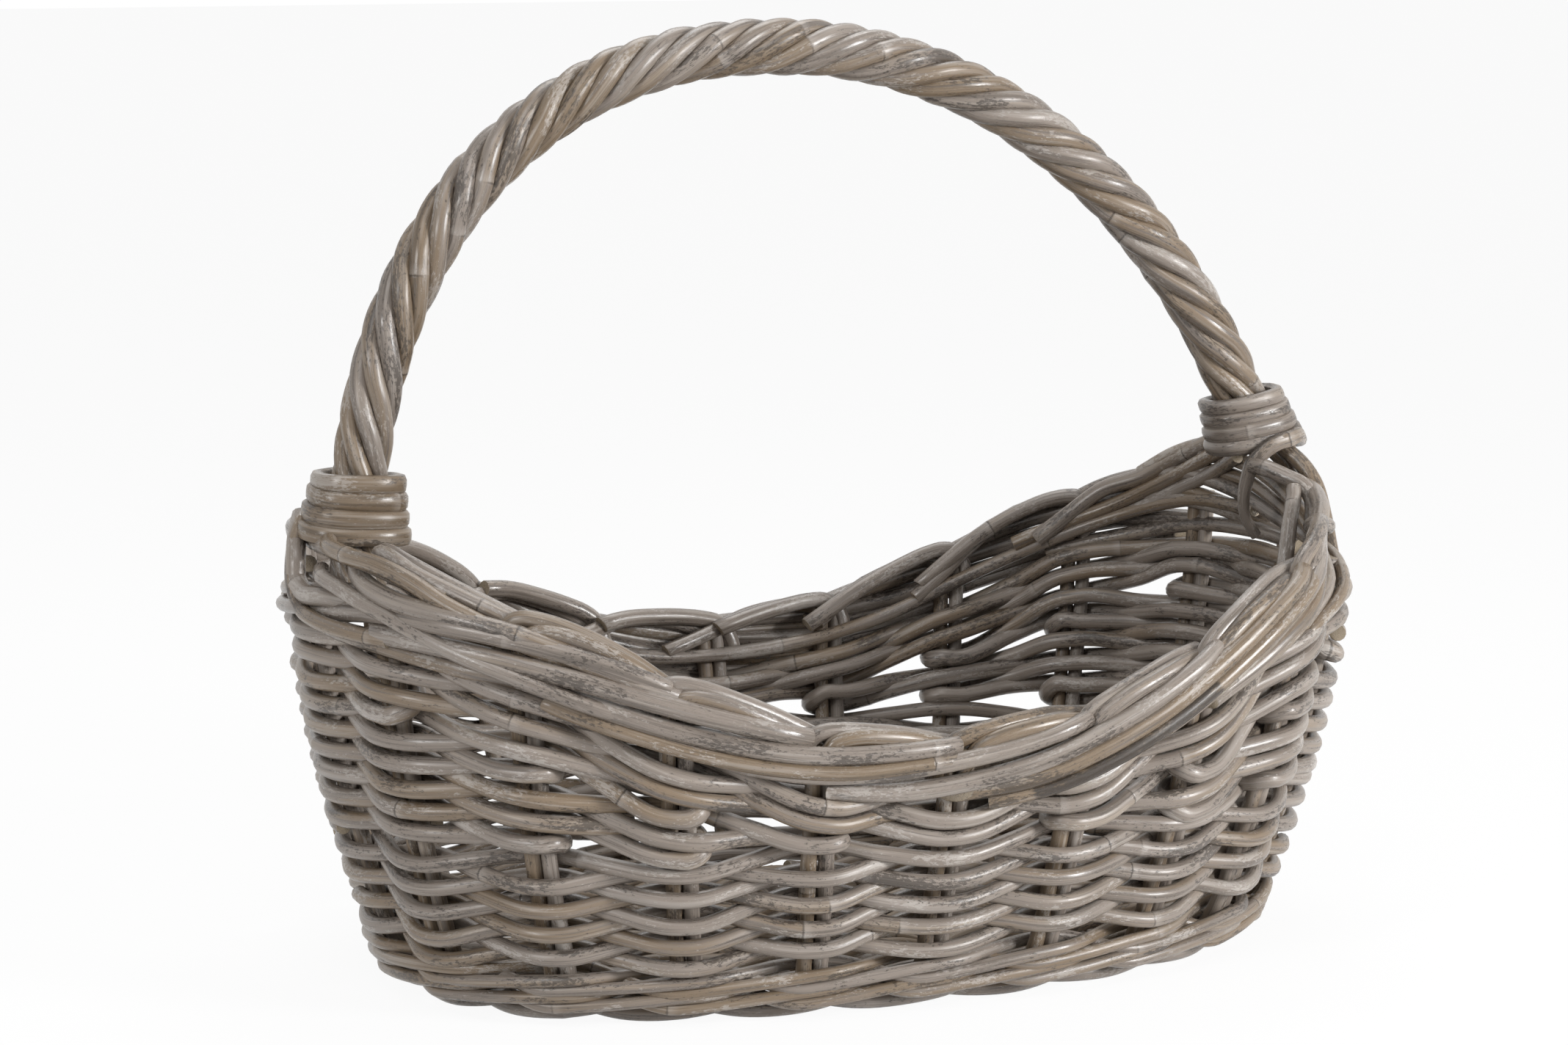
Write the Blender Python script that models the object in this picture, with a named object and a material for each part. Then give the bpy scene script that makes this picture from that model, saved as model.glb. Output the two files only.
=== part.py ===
"""Rattan handle basket, built rod by rod.

A boat-shaped basket of peeled rattan on paired stakes, with a thick rim that
dips at the middle of both long sides and a roped handle lashed to both ends.
Metres, Z up. X is the long way, the basket stands on the plane z = 0 and the
origin is under the middle of its foot. Every rod is a sub-part of its own.
"""

from math import atan2, ceil, cos, floor, hypot, pi, sin

import bmesh
import bpy
from mathutils import Vector

# Outside of the basket, over the weave
BASE_HALF_LENGTH = 0.2283
BASE_HALF_WIDTH = 0.1342
FLARE_LENGTH = 0.0467
FLARE_WIDTH = 0.0514
FLARE_HEIGHT = 0.2426
PLAN_POWER = 2.35
WALL_DEPTH = 0.0112

# How far the rim dips at the middle of the long sides
RIM_DIP = 0.0770
RIM_DIP_POWER = 1.2

# Rods
CLEARANCE = 0.0003
WEAVE_CLEARANCE = 0.0005
BEND_SLACK_SHARE = 1.15
STAKE_DIAMETER = 0.0075
WEAVER_DIAMETER = 0.0058
RIM_ROD_DIAMETER = 0.0097
FOOT_ROD_DIAMETER = 0.0085
UPSETT_ROD_DIAMETER = 0.0080
BASE_WEAVER_DIAMETER = 0.0060
STRAND_DIAMETER = 0.0082
CORE_DIAMETER = 0.0090
ROD_SIDES = 5
LASHING_SIDES = 6
CORE_SIDES = 6

# Stakes and weave
STAKE_PAIRS = 20
FRAME_BEND_RADIUS = 0.0100
FRAME_BEND_STEPS = 3
STAKE_STEPS = 3
ROW_PITCH = 0.00605
FIRST_ROW_HEIGHT = 0.0325
FLAT_ROWS = 9
ROWS_GAP = 0.00035
BORDER_LAYERS = 3
RODS_PER_SPIRAL = 3
CURVED_ROWS = 4
CURVED_ROW_PITCH = 0.0062
SPLICE_GAP = 0.0025
TURN_LAP = 0.0126
TURN_SHARES = ((0.65, 0.52, 0.25), (1.0, 0.0, 0.5), (0.65, -0.52, 0.75))

# Base
BASE_ZONE_MARGIN = 0.0020
BASE_WEAVER_PITCH = 0.0063

# Foot
FOOT_FLAT_DEPTH = 0.0010
FOOT_INSET = 0.0140
UPSETT_TUCK = 0.0004

# Handle
HANDLE_INSET = 0.0239
HANDLE_CLEARANCE = 0.0009
HANDLE_SPRING_HEIGHT = 0.1500
HANDLE_RISE = 0.3020
HANDLE_POWER = 2.1145
HANDLE_SHIFT = 0.0150
HANDLE_LEAN_SHARE = -0.1495
HANDLE_LEFT_END_HEIGHT = 0.1950
HANDLE_RIGHT_END_HEIGHT = 0.2365
HANDLE_STEPS = 34
STRANDS = 6
STRAND_LAY = 0.1200
STRAND_STEPS_PER_LAY = 8

# Lashings
LEFT_LASHING_DIAMETER = 0.0083
LEFT_LASHING_LIFT = 0.0052
LEFT_LASHING_START_SHARE = 0.35
LEFT_LASHING_TURNS = 3.9
RIGHT_LASHING_DIAMETER = 0.0072
RIGHT_LASHING_LIFT = 0.0200
RIGHT_LASHING_START_SHARE = -0.12
RIGHT_LASHING_TURNS = 5.2
LASHING_TURN_GAP = 0.0005
LASHING_CLEARANCE = 0.0012
LASHING_POINTS_PER_TURN = 18
LASHING_POWER = 2.5
LASHING_NARROW_TURNS = 1.6
UPRIGHT_BEND = 0.0090
UPRIGHT_STEPS = 3
TAIL_DROP = 0.0420
TAIL_REACH = 0.0080

MATERIALS = {
    "stake_rattan": ((0.30, 0.26, 0.21), 0.62),
    "weaver_rattan": ((0.36, 0.31, 0.26), 0.58),
    "rim_rattan": ((0.42, 0.36, 0.30), 0.55),
    "base_rattan": ((0.25, 0.20, 0.15), 0.68),
    "handle_rattan": ((0.40, 0.35, 0.29), 0.55),
    "lashing_rattan": ((0.38, 0.31, 0.26), 0.52),
}


def clear_scene():
    for thing in list(bpy.data.objects):
        bpy.data.objects.remove(thing, do_unlink=True)


def finish(name):
    """The rattan finish of one group of rods."""
    if name in bpy.data.materials:
        return bpy.data.materials[name]
    colour, roughness = MATERIALS[name]
    made = bpy.data.materials.new(name)
    made.use_nodes = True
    shader = made.node_tree.nodes["Principled BSDF"]
    shader.inputs["Base Color"].default_value = (*colour, 1.0)
    shader.inputs["Roughness"].default_value = roughness
    shader.inputs["Metallic"].default_value = 0.0
    return made


def signed_power(value, power):
    return abs(value) ** power * (1 if value >= 0 else -1)


def mix(low, high, share):
    return low + (high - low) * share


# The wall: a plan curve that grows with height, and its middle surface

TOP_HALF_LENGTH = BASE_HALF_LENGTH + FLARE_LENGTH
BORDER_DEPTH = BORDER_LAYERS * (RIM_ROD_DIAMETER + CLEARANCE)
CURVED_DEPTH = BORDER_DEPTH + WEAVER_DIAMETER / 2 + CURVED_ROWS * CURVED_ROW_PITCH
FLAT_TOP = FIRST_ROW_HEIGHT + FLAT_ROWS * ROW_PITCH
RIM_MIDDLE_HEIGHT = FLAT_TOP + ROWS_GAP + CURVED_DEPTH
RIM_END_HEIGHT = RIM_MIDDLE_HEIGHT + RIM_DIP


def flare(height):
    """Share of the flare reached at a height, and its slope per metre."""
    share = min(max(height / FLARE_HEIGHT, 0), 1)
    return share * (2 - share), 2 * (1 - share) / FLARE_HEIGHT


def half_axes(height, inset):
    grown, _ = flare(height)
    return (
        BASE_HALF_LENGTH + FLARE_LENGTH * grown - inset,
        BASE_HALF_WIDTH + FLARE_WIDTH * grown - inset,
    )


def plan(angle, half_length, half_width):
    """A point of the plan curve; the angle is 0 at +X and a quarter turn at +Y."""
    return (
        half_length * signed_power(cos(angle), 2 / PLAN_POWER),
        half_width * signed_power(sin(angle), 2 / PLAN_POWER),
    )


def plan_normal(angle, half_length, half_width):
    x, y = plan(angle, half_length, half_width)
    nx = signed_power(x / half_length, PLAN_POWER - 1) / half_length
    ny = signed_power(y / half_width, PLAN_POWER - 1) / half_width
    size = hypot(nx, ny)
    return nx / size, ny / size


def wall_frame(angle, height):
    """Middle of the wall, the way along it and the way out of it."""
    a, b = half_axes(height, WALL_DEPTH)
    x, y = plan(angle, a, b)
    nx, ny = plan_normal(angle, a, b)
    _, slope = flare(height)
    lean = slope * (FLARE_LENGTH * nx * nx + FLARE_WIDTH * ny * ny)
    along = Vector((-ny, nx, 0))
    out = Vector((nx, ny, -lean)).normalized()
    return Vector((x, y, height)), along, out


def wall_point(angle, height, offset=0, sideways=0):
    middle, along, out = wall_frame(angle, height)
    return middle + out * offset + along * sideways


def even_angles(count, height):
    """Angles that share the plan curve at a height into equal lengths."""
    a, b = half_axes(height, WALL_DEPTH)
    fine = 4000
    points = [plan(2 * pi * i / fine, a, b) for i in range(fine + 1)]
    run = [0]
    for (x0, y0), (x1, y1) in zip(points, points[1:]):
        run.append(run[-1] + hypot(x1 - x0, y1 - y0))
    angles = []
    i = 0
    for k in range(count):
        while run[i + 1] <= run[-1] * k / count:
            i += 1
        part = (run[-1] * k / count - run[i]) / (run[i + 1] - run[i])
        angles.append(2 * pi * (i + part) / fine)
    return angles


STAKE_ANGLES = even_angles(STAKE_PAIRS, RIM_MIDDLE_HEIGHT / 2)
LEFT_STAKE = STAKE_PAIRS // 2
PAIR_HALF = (STAKE_DIAMETER + CLEARANCE) / 2


def stake_angle(k):
    """Angle of a stake; parts of a stake lie between two of them."""
    low = floor(k)
    turn = 2 * pi * (low // STAKE_PAIRS)
    here = STAKE_ANGLES[low % STAKE_PAIRS] + turn
    after = STAKE_ANGLES[(low + 1) % STAKE_PAIRS] + 2 * pi * ((low + 1) // STAKE_PAIRS)
    return mix(here, after, k - low)


def wall_turn(k):
    """How far the wall turns from the middle of one space to the next, at stake k."""
    a, b = half_axes(RIM_MIDDLE_HEIGHT / 2, WALL_DEPTH)
    before, here, after = (Vector(plan(stake_angle(k + step), a, b)) for step in (-1, 0, 1))
    first, second = here - before, after - here
    turn = atan2(second.y, second.x) - atan2(first.y, first.x)
    return (turn + pi) % (2 * pi) - pi, (first.length + second.length) / 2


def pass_offset(k, side, diameter):
    """How far from the middle of the wall a rod bends round the pair of stakes k."""
    reach = (STAKE_DIAMETER + diameter) / 2 + WEAVE_CLEARANCE
    turn, space = wall_turn(k)
    slope = 2 * BEND_SLACK_SHARE * reach / space + side * turn / 2
    return side * (reach * hypot(1, slope) + PAIR_HALF * max(slope, 0))


def rim_rise(k):
    """Height of the rim's top over stake k, and how much its slope lengthens it."""
    angle = stake_angle(k)
    share = abs(cos(angle)) ** (2 / PLAN_POWER)
    lift = RIM_DIP / 2
    wave = pi * share**RIM_DIP_POWER
    slope = lift * pi * RIM_DIP_POWER * share ** (RIM_DIP_POWER - 1) * sin(wave)
    return RIM_MIDDLE_HEIGHT + lift * (1 - cos(wave)), hypot(1, slope / TOP_HALF_LENGTH)


def below_rim(k, depth):
    top, stretch = rim_rise(k)
    return top - depth * stretch


# Rods: a section swept along a line of points


def section(sides, diameter):
    """Outline of a rod, shared by all rods of one size."""
    name = f"section_{sides}_{round(diameter * 1e6)}"
    if name in bpy.data.objects:
        return bpy.data.objects[name]
    curve = bpy.data.curves.new(name, "CURVE")
    curve.dimensions = "2D"
    curve.fill_mode = "NONE"
    line = curve.splines.new("POLY")
    line.points.add(sides - 1)
    for i, point in enumerate(line.points):
        turn = -2 * pi * i / sides
        point.co = (diameter / 2 * cos(turn), diameter / 2 * sin(turn), 0, 1)
    line.use_cyclic_u = True
    made = bpy.data.objects.new(name, curve)
    made.hide_render = True
    made.display_type = "WIRE"
    bpy.context.collection.objects.link(made)
    return made


def rod(name, points, diameter, material, sides=ROD_SIDES):
    """One rod along its points, with flat cut ends."""
    curve = bpy.data.curves.new(name, "CURVE")
    curve.dimensions = "3D"
    curve.bevel_mode = "OBJECT"
    curve.bevel_object = section(sides, diameter)
    curve.use_fill_caps = True
    line = curve.splines.new("POLY")
    line.points.add(len(points) - 1)
    for point, place in zip(line.points, points):
        point.co = (*place, 1)
    curve.materials.append(finish(material))
    made = bpy.data.objects.new(name, curve)
    bpy.context.collection.objects.link(made)
    return made


def cut_back(points, length):
    """The same line with a length taken off its end."""
    kept = list(points)
    while (kept[-1] - kept[-2]).length <= length:
        length -= (kept[-1] - kept[-2]).length
        kept.pop()
    kept[-1] = kept[-1] + (kept[-2] - kept[-1]).normalized() * length
    return kept


# Stakes: pairs of U-shaped rods, down one wall, across the base and up the other

FOOT_TOP = FOOT_ROD_DIAMETER - FOOT_FLAT_DEPTH
CROSS_HEIGHT = FOOT_TOP + CLEARANCE + STAKE_DIAMETER / 2
LONG_HEIGHT = CROSS_HEIGHT + STAKE_DIAMETER + CLEARANCE
CROSS_STAKES = range(2, LEFT_STAKE - 1)


def stake_top(k):
    """The cut end of a stake, just under the top rod of the rim."""
    top, stretch = rim_rise(k)
    slope = (stretch * stretch - 1) ** 0.5
    return top - (RIM_ROD_DIAMETER + CLEARANCE) * stretch - STAKE_DIAMETER * slope


def bend(start, corner, end, steps):
    """Points of a smooth bend that leaves start towards corner and reaches end."""
    line = []
    for i in range(steps + 1):
        share = i / steps
        line.append(start.lerp(corner, share).lerp(corner.lerp(end, share), share))
    return line


def frame_arm(k, sideways, height, across):
    """One arm of a U-shaped rod, from its cut end to its run across the base."""
    angle = stake_angle(k)
    low = height + FRAME_BEND_RADIUS
    line = []
    for i in range(STAKE_STEPS):
        at = mix(stake_top(k), low, i / STAKE_STEPS)
        line.append(wall_point(angle, at, 0, sideways))
    run = wall_point(angle, height) + across.cross(Vector((0, 0, 1))) * sideways
    corner = wall_point(angle, height, 0, sideways).lerp(run, 1 / 2)
    inner = run + across * FRAME_BEND_RADIUS
    return line + bend(wall_point(angle, low, 0, sideways), corner, inner, FRAME_BEND_STEPS)


def frame_rod(name, first, second, sideways, height, across):
    there = frame_arm(first, sideways, height, across)
    back = frame_arm(second, -sideways, height, -across)
    rod(name, there + back[::-1], STAKE_DIAMETER, "stake_rattan")


def build_stakes():
    for number, k in enumerate(CROSS_STAKES, 1):
        for letter, side in (("a", 1), ("b", -1)):
            name = f"cross_stake_{number}{letter}"
            frame_rod(name, k, STAKE_PAIRS - k, side * PAIR_HALF, CROSS_HEIGHT, Vector((0, -1, 0)))
    for number, k in enumerate((-1, 0, 1), 1):
        for letter, side in (("a", 1), ("b", -1)):
            name = f"long_stake_{number}{letter}"
            frame_rod(name, k, LEFT_STAKE - k, side * PAIR_HALF, LONG_HEIGHT, Vector((-1, 0, 0)))


# Weave: every rod passes in front of one pair of stakes and behind the next


def woven(first, last, height, first_side):
    """A weaver's line from stake to stake."""
    line = []
    for k in range(first, last + 1):
        side = first_side if (k - first) % 2 == 0 else -first_side
        line.append(wall_point(stake_angle(k), height(k), pass_offset(k, side, WEAVER_DIAMETER)))
    return line


def build_spirals():
    """Two rods chase each other round the basket, half a round apart."""
    rise = 2 * ROW_PITCH / STAKE_PAIRS
    stakes = FLAT_ROWS * STAKE_PAIRS // 2
    for letter, start, first_side in (("a", 0, 1), ("b", LEFT_STAKE, -1)):
        breaks = [start + 2 * round(stakes * i / RODS_PER_SPIRAL / 2) for i in range(RODS_PER_SPIRAL + 1)]
        for number, (first, last) in enumerate(zip(breaks, breaks[1:]), 1):
            line = woven(first, last, lambda k: FIRST_ROW_HEIGHT + rise * (k - start), first_side)
            if number < RODS_PER_SPIRAL:
                line = cut_back(line, SPLICE_GAP)
            rod(f"flat_weaver_{letter}{number}", line, WEAVER_DIAMETER, "weaver_rattan")


def curved_depth(k, start):
    """Depth under the rim of a rod of the curved rounds that starts at a stake."""
    rise = 2 * CURVED_ROW_PITCH / STAKE_PAIRS
    return CURVED_DEPTH - rise * (k - start)


def build_curved_rounds():
    """Two rods that follow the dip of the rim, under its thick rods."""
    stakes = CURVED_ROWS * STAKE_PAIRS // 2
    for letter, start, first_side in (("a", 0, 1), ("b", LEFT_STAKE, -1)):
        line = woven(start, start + stakes, lambda k: below_rim(k, curved_depth(k, start)), first_side)
        rod(f"curved_weaver_{letter}", line, WEAVER_DIAMETER, "weaver_rattan")


def packing_height(row):
    return FLAT_TOP + (row + 1) * ROW_PITCH


def packing_reach(row):
    """How many stakes from the end a row of the packing still fits under the curved rounds."""
    reach = -1
    for away in range(LEFT_STAKE // 2):
        room = below_rim(away, CURVED_DEPTH) - ROW_PITCH - packing_height(row)
        if room < 0:
            break
        reach = away
    return reach


def turn_round(k, heading, row, side):
    """A rod turns round a pair of stakes and comes back one row higher."""
    offset = pass_offset(k, side, WEAVER_DIAMETER)
    back = pass_offset(k, -side, WEAVER_DIAMETER)
    angle = stake_angle(k)
    low, high = packing_height(row), packing_height(row + 1)
    line = [wall_point(angle, low, offset)]
    for lap_share, out_share, way_share in TURN_SHARES:
        out = side * TURN_LAP * out_share
        lap = heading * TURN_LAP * lap_share
        line.append(wall_point(angle, mix(low, high, way_share), out, lap))
    return line + [wall_point(angle, high, back)]


def build_packing():
    """At each end a rod goes back and forth and fills the wedge under the curved rounds."""
    rows = 0
    while packing_reach(rows) >= 1:
        rows += 1
    for name, end in (("right", 0), ("left", LEFT_STAKE)):
        at, heading, side = end - packing_reach(0), 1, 1
        line = [wall_point(stake_angle(at), packing_height(0), pass_offset(at, side, WEAVER_DIAMETER))]
        for row in range(rows):
            goal = end + heading * packing_reach(min(row + 1, rows - 1))
            while at != goal:
                at += heading
                side = -side
                if at != goal or row == rows - 1:
                    offset = pass_offset(at, side, WEAVER_DIAMETER)
                    line.append(wall_point(stake_angle(at), packing_height(row), offset))
            if row < rows - 1:
                line += turn_round(at, heading, row, side)
                side = -side
            heading = -heading
        rod(f"{name}_packing_weaver", line, WEAVER_DIAMETER, "weaver_rattan")


# Border rods of the rim, the two rods over the foot, and the foot


def half_stakes(first, last):
    return [first + i / 2 for i in range(round(2 * (last - first)) + 1)]


def lying_offset(k, side, diameter):
    """How far out a rod lies that runs past the stakes on one side."""
    reach = (STAKE_DIAMETER + diameter) / 2 + CLEARANCE
    turn, _ = wall_turn(k)
    return side * (reach + PAIR_HALF * abs(turn) / 5)


def rim_depth(layer):
    return RIM_ROD_DIAMETER / 2 + layer * (RIM_ROD_DIAMETER + CLEARANCE)


def rim_point(k, layer, side):
    offset = lying_offset(k, side, RIM_ROD_DIAMETER) if side else 0
    return wall_point(stake_angle(k), below_rim(k, rim_depth(layer)), offset)


def build_rim():
    for name, layer, start in (("high", 1, 6), ("low", 2, 13)):
        line = [rim_point(k, layer, 1) for k in half_stakes(start, start + STAKE_PAIRS)]
        rod(f"outer_rim_rod_{name}", cut_back(line, SPLICE_GAP), RIM_ROD_DIAMETER, "rim_rattan")
    for side_name, first in (("back", 0), ("front", LEFT_STAKE)):
        for name, layer in (("high", 1), ("low", 2)):
            line = [rim_point(k, layer, -1) for k in half_stakes(first, first + LEFT_STAKE)]
            line = [p for p in line if abs(p.y) > LEG_CLEAR]
            rod(f"inner_{side_name}_rod_{name}", line, RIM_ROD_DIAMETER, "rim_rattan")
        line = [rim_point(k, 0, 0) for k in half_stakes(first, first + LEFT_STAKE)]
        line = [p for p in line if abs(p.y) > UPRIGHT_SIDE + UPRIGHT_BEND]
        start, end = (RIGHT_LEG, LEFT_LEG) if side_name == "back" else (LEFT_LEG, RIGHT_LEG)
        sign = 1 if side_name == "back" else -1
        line = upright(start, line[0], sign)[::-1] + line + upright(end, line[-1], sign)
        rod(f"{side_name}_top_rod", line, RIM_ROD_DIAMETER, "rim_rattan")


def level_ring(height, inset, diameter):
    a, b = half_axes(height, inset)
    line = []
    for k in half_stakes(0, STAKE_PAIRS):
        line.append(Vector((*plan(stake_angle(k), a, b), height)))
    return cut_back(line, SPLICE_GAP)


def build_foot():
    lowest = min(
        wall_point(stake_angle(k), FIRST_ROW_HEIGHT, pass_offset(k, 1, WEAVER_DIAMETER)).z
        for k in range(STAKE_PAIRS)
    )
    upper = lowest - (WEAVER_DIAMETER + UPSETT_ROD_DIAMETER) / 2 - CLEARANCE
    lower = upper - UPSETT_ROD_DIAMETER - CLEARANCE
    for name, height, tuck in (("upper", upper, 0), ("lower", lower, UPSETT_TUCK)):
        inset = WALL_DEPTH - lying_offset(0, 1, UPSETT_ROD_DIAMETER) + tuck
        line = level_ring(height, inset, UPSETT_ROD_DIAMETER)
        rod(f"{name}_upsett_rod", line, UPSETT_ROD_DIAMETER, "weaver_rattan")
    height = FOOT_ROD_DIAMETER / 2 - FOOT_FLAT_DEPTH
    line = level_ring(height, FOOT_INSET + FOOT_ROD_DIAMETER / 2, FOOT_ROD_DIAMETER)
    foot = rod("foot_rod", line, FOOT_ROD_DIAMETER, "weaver_rattan", CORE_SIDES)
    flatten_underside(foot)


def flatten_underside(thing):
    """Wear the rod flat where the basket stands on it."""
    bpy.context.view_layer.update()
    seen = thing.evaluated_get(bpy.context.evaluated_depsgraph_get())
    mesh = bpy.data.meshes.new_from_object(seen)
    work = bmesh.new()
    work.from_mesh(mesh)
    bmesh.ops.remove_doubles(work, verts=work.verts, dist=CLEARANCE / 10)
    cut = bmesh.ops.bisect_plane(
        work, geom=work.verts[:] + work.edges[:] + work.faces[:],
        plane_co=(0, 0, 0), plane_no=(0, 0, -1), clear_outer=True,
    )
    edges = [part for part in cut["geom_cut"] if isinstance(part, bmesh.types.BMEdge)]
    bmesh.ops.edgeloop_fill(work, edges=edges)
    bmesh.ops.recalc_face_normals(work, faces=work.faces)
    work.to_mesh(mesh)
    work.free()
    name = thing.name
    bpy.data.objects.remove(thing, do_unlink=True)
    made = bpy.data.objects.new(name, mesh)
    bpy.context.collection.objects.link(made)


# Base: rods go back and forth over and under the stakes


def base_pass(y):
    """Stakes whose run across the base is long enough for a rod at this y."""
    room = y + FRAME_BEND_RADIUS + ROD_MARGIN + FOOT_ROD_DIAMETER
    return [k for k in CROSS_STAKES if wall_point(stake_angle(k), CROSS_HEIGHT).y > room]


ROD_MARGIN = BASE_WEAVER_DIAMETER / 2 + BASE_ZONE_MARGIN


def base_line(low, high):
    """A rod that fills the base between two distances from the middle line."""
    count = floor((high - low) / BASE_WEAVER_PITCH) + 1
    reach = (STAKE_DIAMETER + BASE_WEAVER_DIAMETER) / 2 + CLEARANCE
    middle = [wall_point(stake_angle(k), CROSS_HEIGHT).x for k in CROSS_STAKES]
    slope = 2 * reach * (len(middle) - 1) / (middle[0] - middle[-1])
    lift = reach * hypot(1, slope) + PAIR_HALF * slope
    line = []
    at, over = base_pass(low + BASE_WEAVER_PITCH)[0], 1
    for number in range(count):
        y = low + number * BASE_WEAVER_PITCH
        last = number == count - 1
        allowed = base_pass(y if last else y + BASE_WEAVER_PITCH)
        heading = 1 if number % 2 == 0 else -1
        goal = allowed[-1] if heading > 0 else allowed[0]
        while True:
            x = wall_point(stake_angle(at), CROSS_HEIGHT).x
            line.append(Vector((x, y, CROSS_HEIGHT + over * lift)))
            if at == goal:
                break
            at += heading
            over = -over
        if not last:
            for lap_share, height_share, way_share in TURN_SHARES:
                lap = -heading * TURN_LAP * lap_share
                rise = over * TURN_LAP * height_share
                line.append(Vector((x + lap, y + BASE_WEAVER_PITCH * way_share, CROSS_HEIGHT + rise)))
            over = -over
    return line


def build_base():
    pair = 2 * PAIR_HALF - CLEARANCE / 2
    outer_pair = wall_point(stake_angle(1), LONG_HEIGHT).y
    widest = wall_point(stake_angle(LEFT_STAKE // 2 - 2), CROSS_HEIGHT).y
    edge = widest - FRAME_BEND_RADIUS - ROD_MARGIN - FOOT_ROD_DIAMETER - CLEARANCE
    zones = (
        ("inner", pair + ROD_MARGIN, outer_pair - pair - ROD_MARGIN),
        ("outer", outer_pair + pair + ROD_MARGIN, edge),
    )
    for name, low, high in zones:
        line = base_line(low, high)
        rod(f"{name}_base_weaver_back", line, BASE_WEAVER_DIAMETER, "base_rattan")
        line = [Vector((p.x, -p.y, p.z)) for p in line]
        rod(f"{name}_base_weaver_front", line, BASE_WEAVER_DIAMETER, "base_rattan")


# Handle: a core with six rods laid round it

HANDLE_HALF_SPAN = TOP_HALF_LENGTH - HANDLE_INSET


def handle_centre(angle):
    rise = abs(sin(angle)) ** (2 / HANDLE_POWER)
    z = HANDLE_SPRING_HEIGHT + HANDLE_RISE * rise
    x = HANDLE_HALF_SPAN * signed_power(cos(angle), 2 / HANDLE_POWER)
    lean = HANDLE_LEAN_SHARE * (z - HANDLE_SPRING_HEIGHT)
    return Vector((x + lean + HANDLE_SHIFT, 0, z))


def handle_angle(height):
    """Angle of the handle's curve at a height, on its right leg."""
    low, high = 0, pi / 2
    for _ in range(40):
        middle = (low + high) / 2
        low, high = (middle, high) if handle_centre(middle).z < height else (low, middle)
    return low


def handle_line():
    fine = 2000
    first = pi - handle_angle(HANDLE_LEFT_END_HEIGHT)
    last = handle_angle(HANDLE_RIGHT_END_HEIGHT)
    line = [handle_centre(mix(first, last, i / fine)) for i in range(fine + 1)]
    run = [0]
    for before, after in zip(line, line[1:]):
        run.append(run[-1] + (after - before).length)
    return line, run


HANDLE_POINTS, HANDLE_RUN = handle_line()
HANDLE_LENGTH = HANDLE_RUN[-1]
STRAND_RING = ((CORE_DIAMETER + STRAND_DIAMETER) / 2 + CLEARANCE) / cos(pi / STRAND_STEPS_PER_LAY)
HANDLE_RADIUS = STRAND_RING + STRAND_DIAMETER / 2


def handle_frame(run):
    """Middle of the handle at a length along it, its direction and its outer side."""
    low, high = 0, len(HANDLE_RUN) - 1
    while high - low > 1:
        middle = (low + high) // 2
        low, high = (middle, high) if HANDLE_RUN[middle] <= run else (low, middle)
    share = (run - HANDLE_RUN[low]) / (HANDLE_RUN[high] - HANDLE_RUN[low])
    ahead = (HANDLE_POINTS[high] - HANDLE_POINTS[low]).normalized()
    out = Vector((-ahead.z, 0, ahead.x))
    return HANDLE_POINTS[low].lerp(HANDLE_POINTS[high], share), ahead, out


def build_handle():
    line = [handle_frame(HANDLE_LENGTH * i / HANDLE_STEPS)[0] for i in range(HANDLE_STEPS + 1)]
    rod("handle_core", line, CORE_DIAMETER, "handle_rattan", CORE_SIDES)
    steps = ceil(HANDLE_LENGTH / STRAND_LAY * STRAND_STEPS_PER_LAY)
    for number in range(STRANDS):
        line = []
        for i in range(steps + 1):
            run = HANDLE_LENGTH * i / steps
            middle, _, out = handle_frame(run)
            turn = 2 * pi * (run / STRAND_LAY + number / STRANDS)
            line.append(middle + out * STRAND_RING * cos(turn) + Vector((0, STRAND_RING * sin(turn), 0)))
        rod(f"handle_strand_{number + 1}", line, STRAND_DIAMETER, "handle_rattan")


# Legs of the handle: where the lashing and the ends of the rim's top rods go


class Leg:
    """One leg of the handle, seen along a straight axis through its lashing."""

    def __init__(self, lift, diameter, turns, on_left):
        pitch = diameter + LASHING_TURN_GAP
        angle = handle_angle(RIM_END_HEIGHT + lift)
        angle = pi - angle if on_left else angle
        start = handle_centre(angle)
        nearest = min(range(len(HANDLE_POINTS)), key=lambda i: (HANDLE_POINTS[i] - start).length)
        run = HANDLE_RUN[nearest] + (1 if on_left else -1) * pitch * turns / 2
        self.middle, ahead, self.out = handle_frame(run)
        self.up = ahead if on_left else -ahead
        self.foot = self.middle - self.up * pitch * turns / 2
        self.upright_height = pitch * (turns - LASHING_NARROW_TURNS) - RIM_ROD_DIAMETER / 2

    def place(self, along, out, sideways):
        return self.foot + self.up * along + self.out * out + Vector((0, sideways, 0))


LEFT_LEG = Leg(LEFT_LASHING_LIFT, LEFT_LASHING_DIAMETER, LEFT_LASHING_TURNS, True)
RIGHT_LEG = Leg(RIGHT_LASHING_LIFT, RIGHT_LASHING_DIAMETER, RIGHT_LASHING_TURNS, False)
UPRIGHT_OUT = HANDLE_RADIUS + HANDLE_CLEARANCE + RIM_ROD_DIAMETER / 2
UPRIGHT_SIDE = (RIM_ROD_DIAMETER + CLEARANCE) / 2
LEG_CLEAR = HANDLE_RADIUS + RIM_ROD_DIAMETER / 2


def upright(leg, rim_end, sign):
    """The end of a top rod, from the rim up beside the leg of the handle."""
    side = sign * UPRIGHT_SIDE
    corner = Vector((rim_end.x, side, rim_end.z))
    start = leg.place(0, UPRIGHT_OUT, side)
    away = corner + Vector((0, sign * UPRIGHT_BEND, 0))
    line = bend(away, corner, start, UPRIGHT_STEPS)
    return line + [leg.place(leg.upright_height, UPRIGHT_OUT, side)]


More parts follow.
